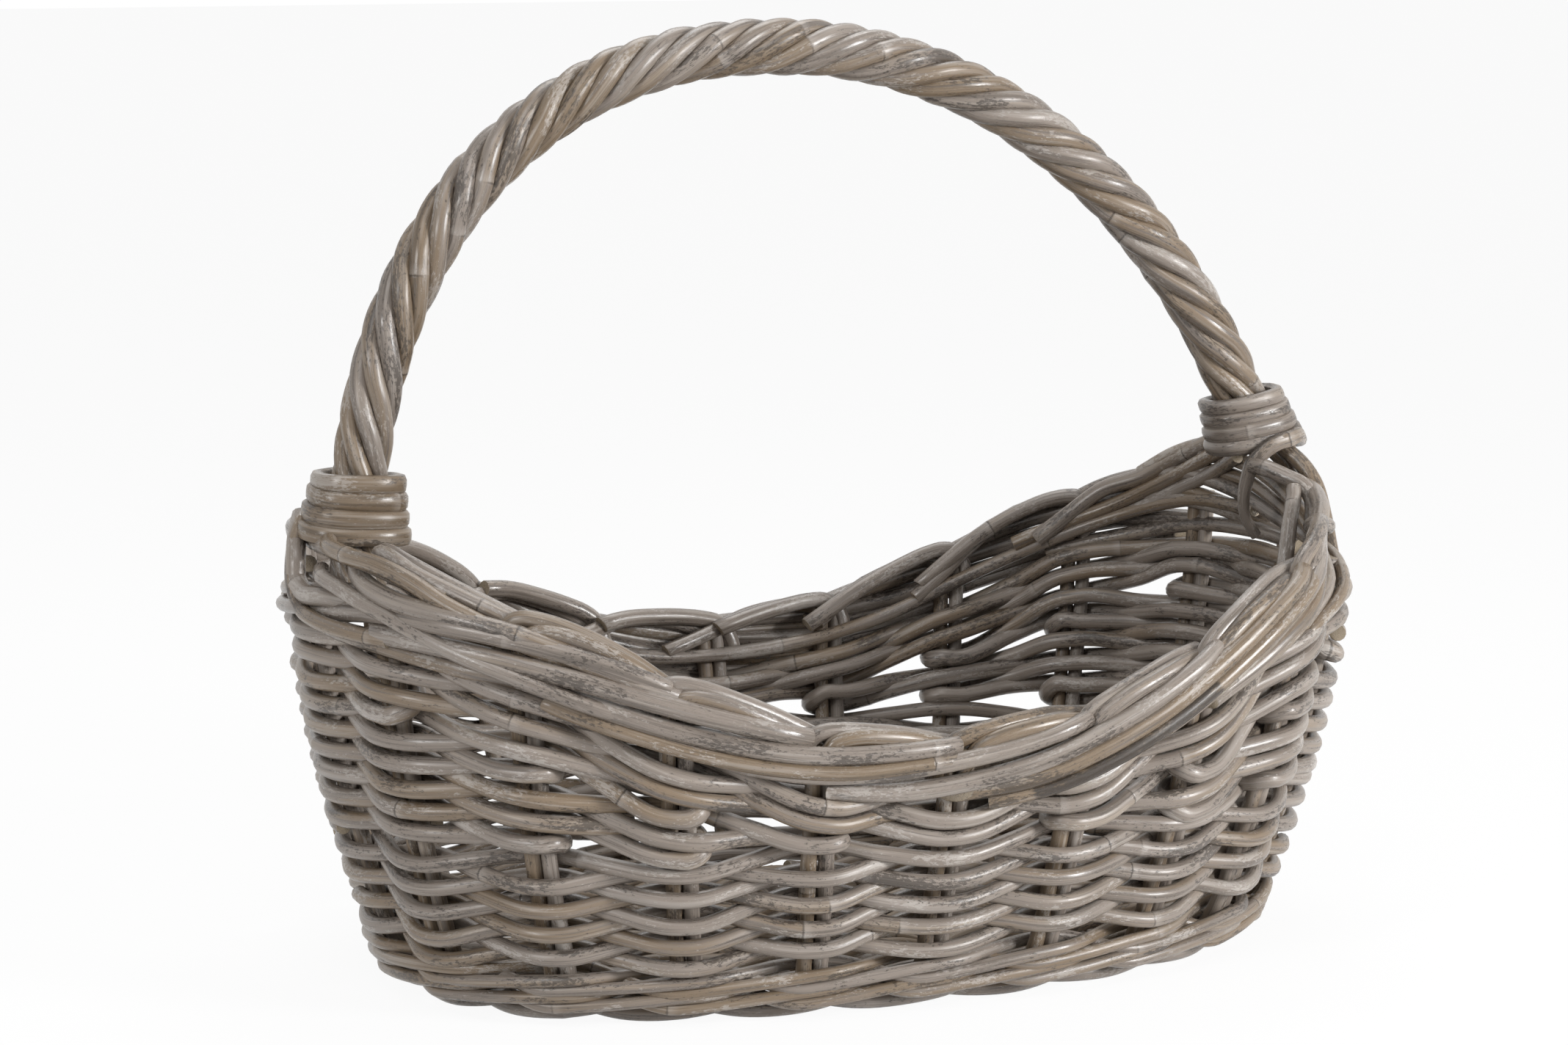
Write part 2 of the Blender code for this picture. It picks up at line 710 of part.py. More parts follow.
def lashing_ring(turn, share, diameter):
    """Where a turn lies: round the leg alone, or round the leg and the two uprights."""
    room = LASHING_CLEARANCE + diameter / 2
    far = UPRIGHT_OUT + RIM_ROD_DIAMETER / 2
    snug = HANDLE_RADIUS + room
    wide = (HANDLE_RADIUS + far) / 2 + room
    across = cos(turn)
    round_out, round_side = snug * across, snug * sin(turn)
    oval_out = (far - HANDLE_RADIUS) / 2 + wide * signed_power(across, 2 / LASHING_POWER)
    oval_side = snug * signed_power(sin(turn), 2 / LASHING_POWER)
    return mix(oval_out, round_out, share), mix(oval_side, round_side, share)


def least_gap(line, diameter):
    """Least gap of a wound rod to itself, between points over half a turn apart."""
    apart = LASHING_POINTS_PER_TURN // 2
    least = min(
        (line[i] - line[j]).length for i in range(len(line)) for j in range(i + apart, len(line))
    )
    return least - diameter


def lashing(name, leg, diameter, turns, first_turn, tail):
    """One unbroken rod wound round a leg, from its lowest turn to its top."""
    pitch = diameter + LASHING_TURN_GAP
    steps = round(turns * LASHING_POINTS_PER_TURN)
    line = []
    for i in range(steps + 1):
        done = i / LASHING_POINTS_PER_TURN
        share = min(max(done - (turns - LASHING_NARROW_TURNS), 0), 1)
        out, side = lashing_ring(2 * pi * (first_turn + done), share * share * (3 - 2 * share), diameter)
        line.append(leg.place(pitch * done, out, side))
    line.append(line[-1] + (line[-1] - line[-2]).normalized() * diameter)
    if tail:
        line = tail_line(leg, line[0], diameter) + line
    else:
        line.insert(0, line[0] + (line[0] - line[1]).normalized() * diameter)
    print(f"{name}: least gap to itself {least_gap(line, diameter) * 1000:.2f} mm")
    rod(name, line, diameter, "lashing_rattan", LASHING_SIDES)


def tail_line(leg, start, diameter):
    """The free end of the right lashing, which crosses in front of it and hangs inside."""
    room = HANDLE_RADIUS + LASHING_CLEARANCE + diameter / 2
    front = leg.place(-TAIL_DROP / 5, 0, -room - CLEARANCE)
    corner = leg.place(-2 * TAIL_DROP / 5, -room * 3 / 4, -room * 3 / 4)
    inner = leg.place(-3 * TAIL_DROP / 5, -room - TAIL_REACH / 2, -room / 3)
    low = leg.place(-TAIL_DROP, -room, -room / 4)
    end = low + Vector((0, 0, -diameter))
    return [end, low, inner, corner, front]


def build_lashings():
    left, right = LEFT_LASHING_START_SHARE, RIGHT_LASHING_START_SHARE
    lashing("left_lashing", LEFT_LEG, LEFT_LASHING_DIAMETER, LEFT_LASHING_TURNS, left, False)
    lashing("right_lashing", RIGHT_LEG, RIGHT_LASHING_DIAMETER, RIGHT_LASHING_TURNS, right, True)


def main():
    clear_scene()
    build_stakes()
    build_spirals()
    build_curved_rounds()
    build_packing()
    build_rim()
    build_foot()
    build_base()
    build_handle()
    build_lashings()


main()
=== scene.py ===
"""Rattan handle basket: the look of every rod.

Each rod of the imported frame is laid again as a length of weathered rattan, with its
own bends, swollen joints, cut ends and colour. Metres, Z up.
"""

from math import atan2, ceil, cos, floor, hypot, pi, radians, sin
from random import Random

import bmesh
import bpy
import numpy as np
from bpy.props import FloatProperty, FloatVectorProperty, PointerProperty
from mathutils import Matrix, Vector


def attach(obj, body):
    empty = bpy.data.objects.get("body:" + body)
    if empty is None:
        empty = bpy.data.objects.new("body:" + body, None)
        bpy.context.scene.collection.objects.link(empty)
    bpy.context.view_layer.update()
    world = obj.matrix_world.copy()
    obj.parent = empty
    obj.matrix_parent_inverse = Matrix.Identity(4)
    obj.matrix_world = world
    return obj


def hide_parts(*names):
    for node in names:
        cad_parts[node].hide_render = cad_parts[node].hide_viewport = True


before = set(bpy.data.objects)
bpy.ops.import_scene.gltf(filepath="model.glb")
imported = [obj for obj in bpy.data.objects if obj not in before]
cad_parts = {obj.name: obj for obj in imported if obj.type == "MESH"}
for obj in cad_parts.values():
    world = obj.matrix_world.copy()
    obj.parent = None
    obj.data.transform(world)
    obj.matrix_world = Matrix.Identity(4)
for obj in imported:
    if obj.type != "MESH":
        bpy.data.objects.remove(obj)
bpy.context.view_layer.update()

bl_info = {
    "name": "Rattan Handle Basket",
    "version": (1, 0, 0),
    "blender": (4, 5, 0),
    "location": "3D View > Sidebar > Basket",
    "description": "Lays the rods of a boat-shaped rattan basket and its roped handle",
    "category": "Object",
}

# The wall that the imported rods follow
BASE_HALF = (0.2283, 0.1342)
TOP_HALF = (0.2750, 0.1856)
FLARE_HEIGHT = 0.2426
PLAN_POWER = 2.35
WALL_DEPTH = 0.0112
RIM_MIDDLE_HEIGHT = 0.1450
RIM_END_HEIGHT = 0.2220
RIM_DIP_POWER = 1.2  # how late the rim starts to rise
STAKE_PAIRS = 20
LEFT_STAKE = STAKE_PAIRS // 2
STAKE_PITCH = 0.0078
FIRST_ROW_HEIGHT = 0.0325
FLAT_ROUNDS = 4.5
RODS_PER_SPIRAL = 3
CURVED_ROUNDS = 2.0
SEATING = 0.0002  # space between a weaver and the stakes it passes
TURN_LAP = 0.0104  # how far a rod that turns back reaches past the stakes
# Three points of such a turn, as shares: past the stakes, outwards, and up to the next row
TURN_SHARES = ((0.80, 0.62, 0.05), (1.0, 0.0, 0.3), (0.80, -0.62, 0.8))
FOOT_INSET = 0.0140
BASE_WEAVER_PITCH = 0.0063
FRAME_BEND = 0.0100

# The handle's middle line and its lashings
HANDLE_HALF_SPAN = 0.2511
HANDLE_SPRING_HEIGHT = 0.1500
HANDLE_RISE = 0.3020
HANDLE_POWER = 2.1145
HANDLE_SHIFT = 0.0150
HANDLE_LEAN_SHARE = -0.1495
STRANDS = 6

MILLIMETRE = 0.001
ROD_SIDES = 12


def mix(low, high, share):
    return low + (high - low) * share


def signed_power(value, power):
    return abs(value) ** power * (1 if value >= 0 else -1)


def ease(share):
    share = min(max(share, 0.0), 1.0)
    return share * share * (3 - 2 * share)


def run_along(line):
    """The length run at each point of a dense line."""
    return np.concatenate([[0], np.cumsum(np.linalg.norm(np.diff(line, axis=0), axis=1))])


# Sizes and colours that a user would change


class RodSizes(bpy.types.PropertyGroup):
    """Thickness of the rods and how evenly they are laid."""

    stake: FloatProperty(name="Stake", description="Diameter", default=0.0078, unit="LENGTH")
    weaver: FloatProperty(name="Weaver", description="Diameter", default=0.0079, unit="LENGTH")
    border: FloatProperty(name="Border rod", description="Diameter", default=0.0086, unit="LENGTH")
    wale: FloatProperty(name="Wale", description="Diameter", default=0.0078, unit="LENGTH")
    foot: FloatProperty(name="Foot rod", description="Diameter", default=0.0085, unit="LENGTH")
    base: FloatProperty(name="Base weaver", description="Diameter", default=0.0060, unit="LENGTH")
    strand: FloatProperty(name="Strand", description="Diameter", default=0.0096, unit="LENGTH")
    row_pitch: FloatProperty(name="Row pitch", description="Rise of one row", default=0.00605, unit="LENGTH")
    dip: FloatProperty(name="Dip", description="Drop in front of a pair", default=0.0017, unit="LENGTH")
    sway: FloatProperty(name="Sway", description="How far rods stray", default=0.0006, unit="LENGTH")


class RattanColours(bpy.types.PropertyGroup):
    """Colours of the weathered rattan."""

    grey: FloatVectorProperty(
        name="Grey", description="Weathered skin", subtype="COLOR", size=3, default=(0.245, 0.207, 0.176))
    tan: FloatVectorProperty(
        name="Tan", description="Unweathered skin", subtype="COLOR", size=3, default=(0.206, 0.152, 0.101))
    dark: FloatVectorProperty(
        name="Dark", description="Stains and joints", subtype="COLOR", size=3, default=(0.030, 0.023, 0.018))
    chalk: FloatVectorProperty(
        name="Chalk", description="Pale rubbed streaks", subtype="COLOR", size=3, default=(0.50, 0.465, 0.43))
    pith: FloatVectorProperty(
        name="Pith", description="Cut ends", subtype="COLOR", size=3, default=(0.34, 0.28, 0.205))


class StageSizes(bpy.types.PropertyGroup):
    """Camera and lamps."""

    distance: FloatProperty(name="Distance", description="Camera to middle", default=2.0487, unit="LENGTH")
    height: FloatProperty(name="Height", description="Camera over the floor", default=0.5390, unit="LENGTH")
    turn: FloatProperty(name="Turn", description="Camera round the basket", default=-0.3886, subtype="ANGLE")
    tilt: FloatProperty(name="Tilt", description="Camera down", default=0.1567, subtype="ANGLE")
    pan: FloatProperty(name="Pan", description="Camera to the left", default=0.0099, subtype="ANGLE")
    lens: FloatProperty(name="Lens", description="Focal length in mm", default=95.49)
    key: FloatProperty(name="Key lamp", description="Power over the basket in W", default=6.0)
    left: FloatProperty(name="Left lamp", description="Power at the left in W", default=9.5)
    right: FloatProperty(name="Right lamp", description="Power at the right in W", default=40.0)
    over: FloatProperty(name="Over lamp", description="Power over the back in W", default=9.0)


# The wall and its stakes


def half_axes(height, inset):
    share = min(max(height / FLARE_HEIGHT, 0), 1)
    grown = share * (2 - share)
    return tuple(mix(low, high, grown) - inset for low, high in zip(BASE_HALF, TOP_HALF))


def plan(angle, half_length, half_width):
    return (
        half_length * signed_power(cos(angle), 2 / PLAN_POWER),
        half_width * signed_power(sin(angle), 2 / PLAN_POWER),
    )


def wall_point(angle, height, offset=0.0, sideways=0.0):
    """A point of the wall: at an angle round it, a height, and a way out and along."""
    a, b = half_axes(height, WALL_DEPTH)
    x, y = plan(angle, a, b)
    nx = signed_power(x / a, PLAN_POWER - 1) / a
    ny = signed_power(y / b, PLAN_POWER - 1) / b
    size = hypot(nx, ny)
    nx, ny = nx / size, ny / size
    slope = 2 * (1 - min(max(height / FLARE_HEIGHT, 0), 1)) / FLARE_HEIGHT
    lean = slope * ((TOP_HALF[0] - BASE_HALF[0]) * nx * nx + (TOP_HALF[1] - BASE_HALF[1]) * ny * ny)
    out = Vector((nx, ny, -lean)).normalized()
    return Vector((x, y, height)) + out * offset + Vector((-ny, nx, 0)) * sideways


def even_angles(count, height):
    """Angles that share the wall's plan at a height into equal lengths."""
    fine = 4000
    line = np.array([plan(2 * pi * i / fine, *half_axes(height, WALL_DEPTH)) for i in range(fine + 1)])
    run = run_along(line)
    turns = np.interp(run[-1] * np.arange(count) / count, run, np.arange(fine + 1))
    return list(2 * pi * turns / fine)


STAKE_ANGLES = even_angles(STAKE_PAIRS, RIM_MIDDLE_HEIGHT / 2)


def stake_angle(k):
    low = floor(k)
    whole = low // STAKE_PAIRS
    here = STAKE_ANGLES[low % STAKE_PAIRS] + 2 * pi * whole
    whole = (low + 1) // STAKE_PAIRS
    after = STAKE_ANGLES[(low + 1) % STAKE_PAIRS] + 2 * pi * whole
    return mix(here, after, k - low)


def wall_turn(k):
    """How far the wall turns at stake k."""
    a, b = half_axes(RIM_MIDDLE_HEIGHT / 2, WALL_DEPTH)
    before, here, after = (Vector(plan(stake_angle(k + i), a, b)) for i in (-1, 0, 1))
    first, second = here - before, after - here
    turn = atan2(second.y, second.x) - atan2(first.y, first.x)
    return (turn + pi) % (2 * pi) - pi


def rim_rise(k):
    """Height of the rim's top over stake k, and how much its slope lengthens it."""
    share = abs(cos(stake_angle(k))) ** (2 / PLAN_POWER)
    lift = (RIM_END_HEIGHT - RIM_MIDDLE_HEIGHT) / 2
    top = RIM_MIDDLE_HEIGHT + lift * (1 - cos(pi * share**RIM_DIP_POWER))
    slope = lift * pi * RIM_DIP_POWER * share ** (RIM_DIP_POWER - 1) * sin(pi * share**RIM_DIP_POWER)
    return top, hypot(1, slope / TOP_HALF[0])


def below_rim(k, depth):
    top, stretch = rim_rise(k)
    return top - depth * stretch


# Rods


def smooth_line(points):
    """A smooth curve through the points, as a dense line and the length run at each."""
    p = np.array([tuple(point) for point in points])
    gaps = np.linalg.norm(np.diff(p, axis=0), axis=1)
    at = np.concatenate([[0], np.cumsum(gaps)])
    speed = np.diff(p, axis=0) / gaps[:, None]
    slopes = np.vstack([speed[:1], speed])
    before, after = gaps[:-1, None], gaps[1:, None]
    slopes[1:-1] = (speed[:-1] * after + speed[1:] * before) / (before + after)
    u = np.linspace(0, at[-1], ceil(at[-1] / MILLIMETRE) + 1)
    i = np.clip(np.searchsorted(at, u, side="right") - 1, 0, len(gaps) - 1)
    h = gaps[i][:, None]
    s = (u - at[i])[:, None] / h
    line = (
        p[i] * (1 + 2 * s) * (1 - s) ** 2 + p[i + 1] * s**2 * (3 - 2 * s)
        + h * (slopes[i] * s * (1 - s) ** 2 + slopes[i + 1] * s**2 * (s - 1))
    )
    run = run_along(line)
    return line, run


class Rod:
    """One length of rattan: at each ring its place, thickness, shade and nearest joint."""

    LONG_STEP = 0.0060
    BEND_STEP = radians(13)
    JOINT_SPACING = (0.14, 0.34)
    SWELLING = 0.05
    SWELLING_REACH = 0.0022
    SWELLING_RINGS = (-1.8, -0.7, -0.15, 0.15, 0.7, 1.8)
    CHAMFER = 0.0004
    END_ROUNDING = 0.93
    PLAIN_END_SHARE = 0.7
    UNEVENNESS = 0.045
    GRAIN_OFFSET = 3.7
    CURL_REACH = 0.0092
    CURL_SWELLING = 0.18
    CURL_WEAR = 0.5

    def __init__(self, points, diameter, number, shade=0.5, spread=0.25, cuts=(None, None), curls=()):
        dice = Random(number)
        line, run = smooth_line(points)
        length = run[-1]
        ways = np.gradient(line, axis=0)
        ways /= np.linalg.norm(ways, axis=1)[:, None]
        bends = np.arccos(np.clip((ways[1:] * ways[:-1]).sum(1), -1, 1))
        spent = np.concatenate([[0], np.cumsum(np.diff(run) / self.LONG_STEP + bends / self.BEND_STEP)])
        rings = list(np.interp(np.arange(1, spent[-1]), spent, run))
        joints = [dice.uniform(0, self.JOINT_SPACING[1])]
        while joints[-1] < length:
            joints.append(joints[-1] + dice.uniform(*self.JOINT_SPACING))
        joints = np.array(joints)
        for joint in joints:
            if diameter < joint < length - diameter:
                rings = [r for r in rings if abs(r - joint) > 2 * self.SWELLING_REACH]
                rings += [joint + self.SWELLING_REACH * share for share in self.SWELLING_RINGS]
        keep = diameter * self.PLAIN_END_SHARE
        rings = sorted(r for r in rings if keep < r < length - keep)
        rings = np.array([0, self.CHAMFER] + rings + [length - self.CHAMFER, length])
        self.line = np.stack([np.interp(rings, run, line[:, axis]) for axis in range(3)], axis=1)
        self.ways = np.stack([np.interp(rings, run, ways[:, axis]) for axis in range(3)], axis=1)
        self.along = rings + self.GRAIN_OFFSET * number
        to_joint = rings[:, None] - joints[None, :]
        nearest = np.abs(to_joint).argmin(axis=1)
        self.joint = to_joint[np.arange(len(rings)), nearest]
        waves = [(dice.uniform(0.05, 0.16), dice.uniform(0, 2 * pi)) for _ in range(3)]
        uneven = sum(np.sin(2 * pi * rings / wave + phase) for wave, phase in waves) / 3
        swell = self.SWELLING * np.exp(-((self.joint / self.SWELLING_REACH) ** 2))
        self.radius = diameter / 2 * (1 + self.UNEVENNESS * uneven + swell)
        self.cut = np.zeros(len(rings))
        for curl in curls:
            away = np.linalg.norm(self.line - np.array(curl), axis=1)
            curled = np.exp(-((away / self.CURL_REACH) ** 2))
            self.radius *= 1 + self.CURL_SWELLING * curled
            self.cut = np.maximum(self.cut, self.CURL_WEAR * curled * (dice.random() < 0.7))
        self.radius[[0, -1]] *= self.END_ROUNDING
        own = shade + dice.uniform(-spread, spread)
        shades = [own + dice.uniform(-spread, spread) * 0.8 for _ in range(len(joints) + 1)]
        passed = (rings[:, None] > joints[None, :]).sum(axis=1)
        self.shade = np.clip(np.array(shades)[passed], 0, 1)
        self.cut[[0, -1]] = 1
        self.cuts = cuts


def lay_rods(name, rods, slot, nodes, sides=ROD_SIDES, flat=None):
    """Lays rods as one piece that stands for some nodes of the frame."""
    bpy.ops.object.select_all(action="DESELECT")
    bpy.ops.curve.primitive_nurbs_path_add(location=(0, 0, 0))
    piece = bpy.context.object
    piece.name = name
    curve = piece.data
    curve.splines.clear()
    for rod in rods:
        spline = curve.splines.new("POLY")
        spline.points.add(len(rod.line) - 1)
        places = np.hstack([rod.line, np.ones((len(rod.line), 1))])
        spline.points.foreach_set("co", places.ravel())
        spline.points.foreach_set("radius", rod.radius / MILLIMETRE)
    curve.bevel_depth = MILLIMETRE
    curve.bevel_resolution = (sides - 4) // 2
    curve.use_fill_caps = False
    curve.twist_mode = "MINIMUM"
    bpy.ops.object.convert(target="MESH")
    piece = bpy.context.object
    piece.data.name = name
    for uv_map in list(piece.data.uv_layers):
        piece.data.uv_layers.remove(uv_map)
    mark_rings(piece.data, rods, sides)
    if flat:
        flatten_rings(piece.data, sides, *flat)
    close_ends(piece.data, rods, sides)
    piece.data.materials.clear()
    piece.data.materials.append(rattan(slot))
    bpy.ops.object.shade_smooth_by_angle(angle=radians(50))
    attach(piece, "root")
    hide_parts(*nodes)
    return piece


def mark_rings(mesh, rods, sides):
    """Gives each ring its place along the grain, its shade, joint and cut end."""
    turns = 2 * pi * np.arange(sides) / sides
    grain, marks = [], []
    for rod in rods:
        count = len(rod.line)
        ring = np.empty((count, sides, 3))
        ring[:, :, 0] = rod.along[:, None]
        ring[:, :, 1] = rod.radius[:, None] * np.cos(turns)
        ring[:, :, 2] = rod.radius[:, None] * np.sin(turns)
        grain.append(ring.reshape(-1, 3))
        marks.append(np.repeat(np.stack([rod.shade, rod.joint, rod.cut], axis=1), sides, axis=0))
    grain = np.concatenate(grain)
    if len(grain) != len(mesh.vertices):
        raise RuntimeError(f"{mesh.name}: {len(mesh.vertices)} vertices and not {len(grain)}")
    for name, values in (("grain", grain), ("marks", np.concatenate(marks))):
        mesh.attributes.new(name, "FLOAT_VECTOR", "POINT").data.foreach_set("vector", values.ravel())


def flatten_rings(mesh, sides, axis, share, power=3.4):
    """Presses a rod flat across the axis that it winds round."""
    places = np.empty(len(mesh.vertices) * 3, np.float32)
    mesh.vertices.foreach_get("co", places)
    rings = places.reshape(-1, sides, 3)
    middles = rings.mean(axis=1, keepdims=True)
    aside = rings - middles
    radius = np.linalg.norm(aside, axis=2, keepdims=True)
    height = (aside @ np.array(axis))[:, :, None]
    upright = height * np.array(axis)
    flat = aside - upright
    u, v = np.abs(height) / radius, np.linalg.norm(flat, axis=2, keepdims=True) / radius
    square = (u**power + v**power) ** (-1 / power)
    mesh.vertices.foreach_set("co", (middles + (upright + flat * share) * square).ravel())


def close_ends(mesh, rods, sides):
    """Cuts each rod's ends, square or slanted, and closes them."""
    work = bmesh.new()
    work.from_mesh(mesh)
    work.verts.ensure_lookup_table()
    first = 0
    for rod in rods:
        last = first + (len(rod.line) - 1) * sides
        for start, ring, cut in ((first, 0, rod.cuts[0]), (last, -1, rod.cuts[1])):
            way = Vector(rod.ways[ring]).normalized()
            middle = Vector(rod.line[ring])
            verts = [work.verts[start + i] for i in range(sides)]
            if cut is not None:
                inner = start + (sides if ring == 0 else -sides)
                slant(verts + [work.verts[inner + i] for i in range(sides)], middle, way, Vector(cut))
            work.faces.new(verts)
        first = last + sides
    bmesh.ops.recalc_face_normals(work, faces=work.faces)
    work.to_mesh(mesh)
    work.free()


def slant(verts, middle, way, cut):
    """Moves the last two rings along the rod onto a slanted cut."""
    for vert in verts:
        aside = vert.co - middle
        vert.co += way * -(aside - way * aside.dot(way)).dot(cut)


# Materials


class Value:
    """A socket that adds, subtracts and multiplies like a number."""

    def __init__(self, tree, socket):
        self.tree, self.socket = tree, socket

    def math(self, operation, *others):
        return self.tree.node("ShaderNodeMath", {"operation": operation}, self, *others)[0]

    def __add__(self, other):
        return self.math("ADD", other)

    def __sub__(self, other):
        return self.math("SUBTRACT", other)

    def __mul__(self, other):
        return self.math("MULTIPLY", other)


class Finish:
    """The node tree of a material or a world, and one way to add any node to it."""

    def __init__(self, owner):
        owner.use_nodes = True
        self.owner = owner
        self.nodes, self.links = owner.node_tree.nodes, owner.node_tree.links
        self.nodes.clear()

    def node(self, kind, settings=None, *inputs, **named):
        """Adds a node with its settings, and fills its inputs in order or by name."""
        made = self.nodes.new(kind)
        for key, value in (settings or {}).items():
            setattr(made, key, value)
        enabled = [socket for socket in made.inputs if socket.enabled]
        for socket, value in list(zip(enabled, inputs)) + [
            (next(s for s in enabled if s.name == key.replace("_", " ")), v) for key, v in named.items()
        ]:
            if isinstance(value, Value):
                self.links.new(value.socket, socket)
            elif value is not None:
                socket.default_value = (*value, 1.0) if socket.type == "RGBA" and len(value) == 3 else value
        return [Value(self, socket) for socket in made.outputs if socket.enabled]

    def step(self, value, low, high):
        smooth = {"interpolation_type": "SMOOTHSTEP"}
        return self.node("ShaderNodeMapRange", smooth, value, low, high, 0.0, 1.0)[0]

    def blend(self, share, first, second):
        return self.node("ShaderNodeMix", {"data_type": "RGBA"}, share, first, second)[0]

    def noise(self, grain, along, across, detail=3.0, roughness=0.55):
        """Noise with a scale along the grain and another across it."""
        scales = (along, across, across)
        place = self.node("ShaderNodeVectorMath", {"operation": "MULTIPLY"}, grain, scales)[0]
        return self.node(
            "ShaderNodeTexNoise", {}, Vector=place, Scale=1.0, Detail=detail, Roughness=roughness)[0]


# How much tan, chalk and stain each finish shows, how rough its skin is, and how soiled
FINISHES = {
    "stake_rattan": (0.62, 0.30, 0.55, 0.52, 0.0),
    "weaver_rattan": (0.56, 0.50, 0.50, 0.33, 0.06),
    "rim_rattan": (0.60, 0.42, 0.50, 0.28, 0.14),
    "base_rattan": (0.75, 0.20, 0.60, 0.55, 0.0),
    "handle_rattan": (0.76, 0.42, 0.60, 0.32, 0.16),
    "lashing_rattan": (0.90, 0.12, 0.60, 0.32, 0.24),
}


def rattan(slot):
    """The weathered skin of one group of rods, along the grain of each rod."""
    if slot in bpy.data.materials and bpy.data.materials[slot].get("laid"):
        return bpy.data.materials[slot]
    tan_share, chalk_share, stain_share, roughness, soil = FINISHES[slot]
    colours = bpy.context.scene.rattan_colours
    finish = Finish(bpy.data.materials.new(slot))
    grain = finish.node("ShaderNodeAttribute", {"attribute_name": "grain"})[1]
    marks = finish.node("ShaderNodeAttribute", {"attribute_name": "marks"})[1]
    shade, joint, cut = finish.node("ShaderNodeSeparateXYZ", {}, marks)
    fibres = finish.noise(grain, 16, 1500, 4.0, 0.65)
    streaks = finish.noise(grain, 12, 380, 3.0, 0.6)
    patches = finish.noise(grain, 24, 110, 3.0)
    clouds = finish.noise(grain, 7, 40, 2.0)
    grit = finish.noise(grain, 240, 1000, 3.0, 0.7)
    tan = finish.step(shade + (clouds - 0.5) * 1.6 + (streaks - 0.5) * 1.4, 1.0 - tan_share, 1.3 - tan_share)
    skin = finish.blend(tan, colours.grey, colours.tan)
    skin = finish.blend(finish.step(streaks, 0.50, 0.66) * 0.30, skin, colours.chalk)
    skin = finish.blend(finish.step(streaks, 0.47, 0.32) * 0.42, skin, colours.dark)
    skin = finish.blend(finish.step(fibres, 0.47, 0.33) * 0.42, skin, colours.dark)
    worn = finish.step(cut, 0.12, 0.42)
    chalk = finish.step(
        grit * 0.8 + (patches - 0.5) * 1.7 + worn * 0.22, 1.02 - chalk_share * 0.7, 1.18 - chalk_share * 0.7)
    skin = finish.blend(chalk * 0.55, skin, colours.chalk)
    flakes = finish.noise(grain, 330, 900, 4.0, 0.75)
    wear = finish.noise(grain, 18, 75, 2.0)
    flaked = finish.step(flakes + (wear - 0.5) * 1.3, 0.67, 0.71)
    skin = finish.blend(flaked * 0.50, skin, colours.chalk)
    chipped = finish.step(flakes + (wear - 0.5) * 1.2, 0.35, 0.32)
    skin = finish.blend(chipped * 0.70, skin, colours.dark)
    specks = finish.step(patches * 0.8 + grit * 0.6, 0.93, 0.98) * finish.step(clouds, 0.45, 0.6)
    stain = finish.step(patches + (grit - 0.5) * 0.8 + (clouds - 0.5) * 0.7, 0.86 - stain_share * 0.3, 0.98)
    burnt = finish.step(shade + (grit - 0.5) * 0.9 + (patches - 0.5) * 1.2, 1.15, 1.5)
    dirt = (stain * 0.8 + soil).math("MAXIMUM", specks * 0.8).math("MAXIMUM", burnt * 0.93)
    skin = finish.blend(dirt, skin, colours.dark)
    apart = joint.math("ABSOLUTE")
    scar = finish.step(apart + (grit - 0.5) * 0.0014, 0.0008, 0.0001) * finish.step(clouds, 0.38, 0.58)
    collar = finish.step(joint, 0.0, 0.0006) * finish.step(joint, 0.0060, 0.0012)
    skin = finish.blend(collar * 0.18, skin, colours.chalk)
    skin = finish.blend(scar * 0.70, skin, colours.dark)
    pores = finish.noise(grain, 0, 2600, 1.0)
    end = finish.blend(finish.step(pores, 0.56, 0.66) * 0.6, colours.pith, colours.dark)
    skin = finish.blend(finish.step(cut, 0.6, 0.95), skin, end)
    height = fibres * 0.40 + streaks * 0.45 + flaked * 0.25 + chipped * -0.35 + scar * -0.6
    bump = finish.node("ShaderNodeBump", {}, Strength=0.5, Distance=0.0004, Height=height)[0]
    gloss = finish.step(streaks + (grit - 0.5) * 0.6, 0.25, 0.75) * 0.16 + chalk * 0.20 + roughness - 0.08
    shader = finish.node("ShaderNodeBsdfPrincipled", {}, Base_Color=skin, Roughness=gloss, Normal=bump)[0]
    finish.node("ShaderNodeOutputMaterial", {}, shader)
    finish.owner["laid"] = True
    return finish.owner


# Stakes: pairs of U-shaped rods, down one wall, across the base and up the other


CROSS_HEIGHT = 0.0116
LONG_HEIGHT = 0.0194
OUT_OF_LINE = STAKE_PITCH / 2
# How far under the rim a pair ends, where that isn't the usual 12 mm
STAKE_DROPS = {0: 0.0330, LEFT_STAKE: 0.0330, STAKE_PAIRS - 1: 0.0260}
USUAL_DROP = 0.0120
STRAY = 0.0004  # how far a stake or a rim rod strays from its place


def stake_top(k):
    """Height where a pair of stakes ends; under the slopes of the rim it ends lower."""
    top, stretch = rim_rise(k)
    drop = STAKE_DROPS.get(k % STAKE_PAIRS, USUAL_DROP)
    return top - drop * stretch - STAKE_PITCH * (stretch * stretch - 1) ** 0.5


def bend(start, corner, end, steps):
    """Points of a smooth bend that leaves start towards corner and reaches end."""
    shares = [i / steps for i in range(steps + 1)]
    return [start.lerp(corner, s).lerp(corner.lerp(end, s), s) for s in shares]


def frame_arm(k, sideways, height, across, dice):
    """One stake from its top, down the wall and round into the base."""
    angle = stake_angle(k)
    low = height + FRAME_BEND
    line = []
    for share in (0, 0.25, 0.5, 0.75):
        stray = dice.uniform(-STRAY, STRAY)
        line.append(wall_point(angle, mix(stake_top(k), low, share), stray, sideways + stray))
    run = wall_point(angle, height) + across.cross(Vector((0, 0, 1))) * sideways
    corner = wall_point(angle, height, 0, sideways).lerp(run, 0.5)
    return line + bend(wall_point(angle, low, 0, sideways), corner, run + across * FRAME_BEND, 4)


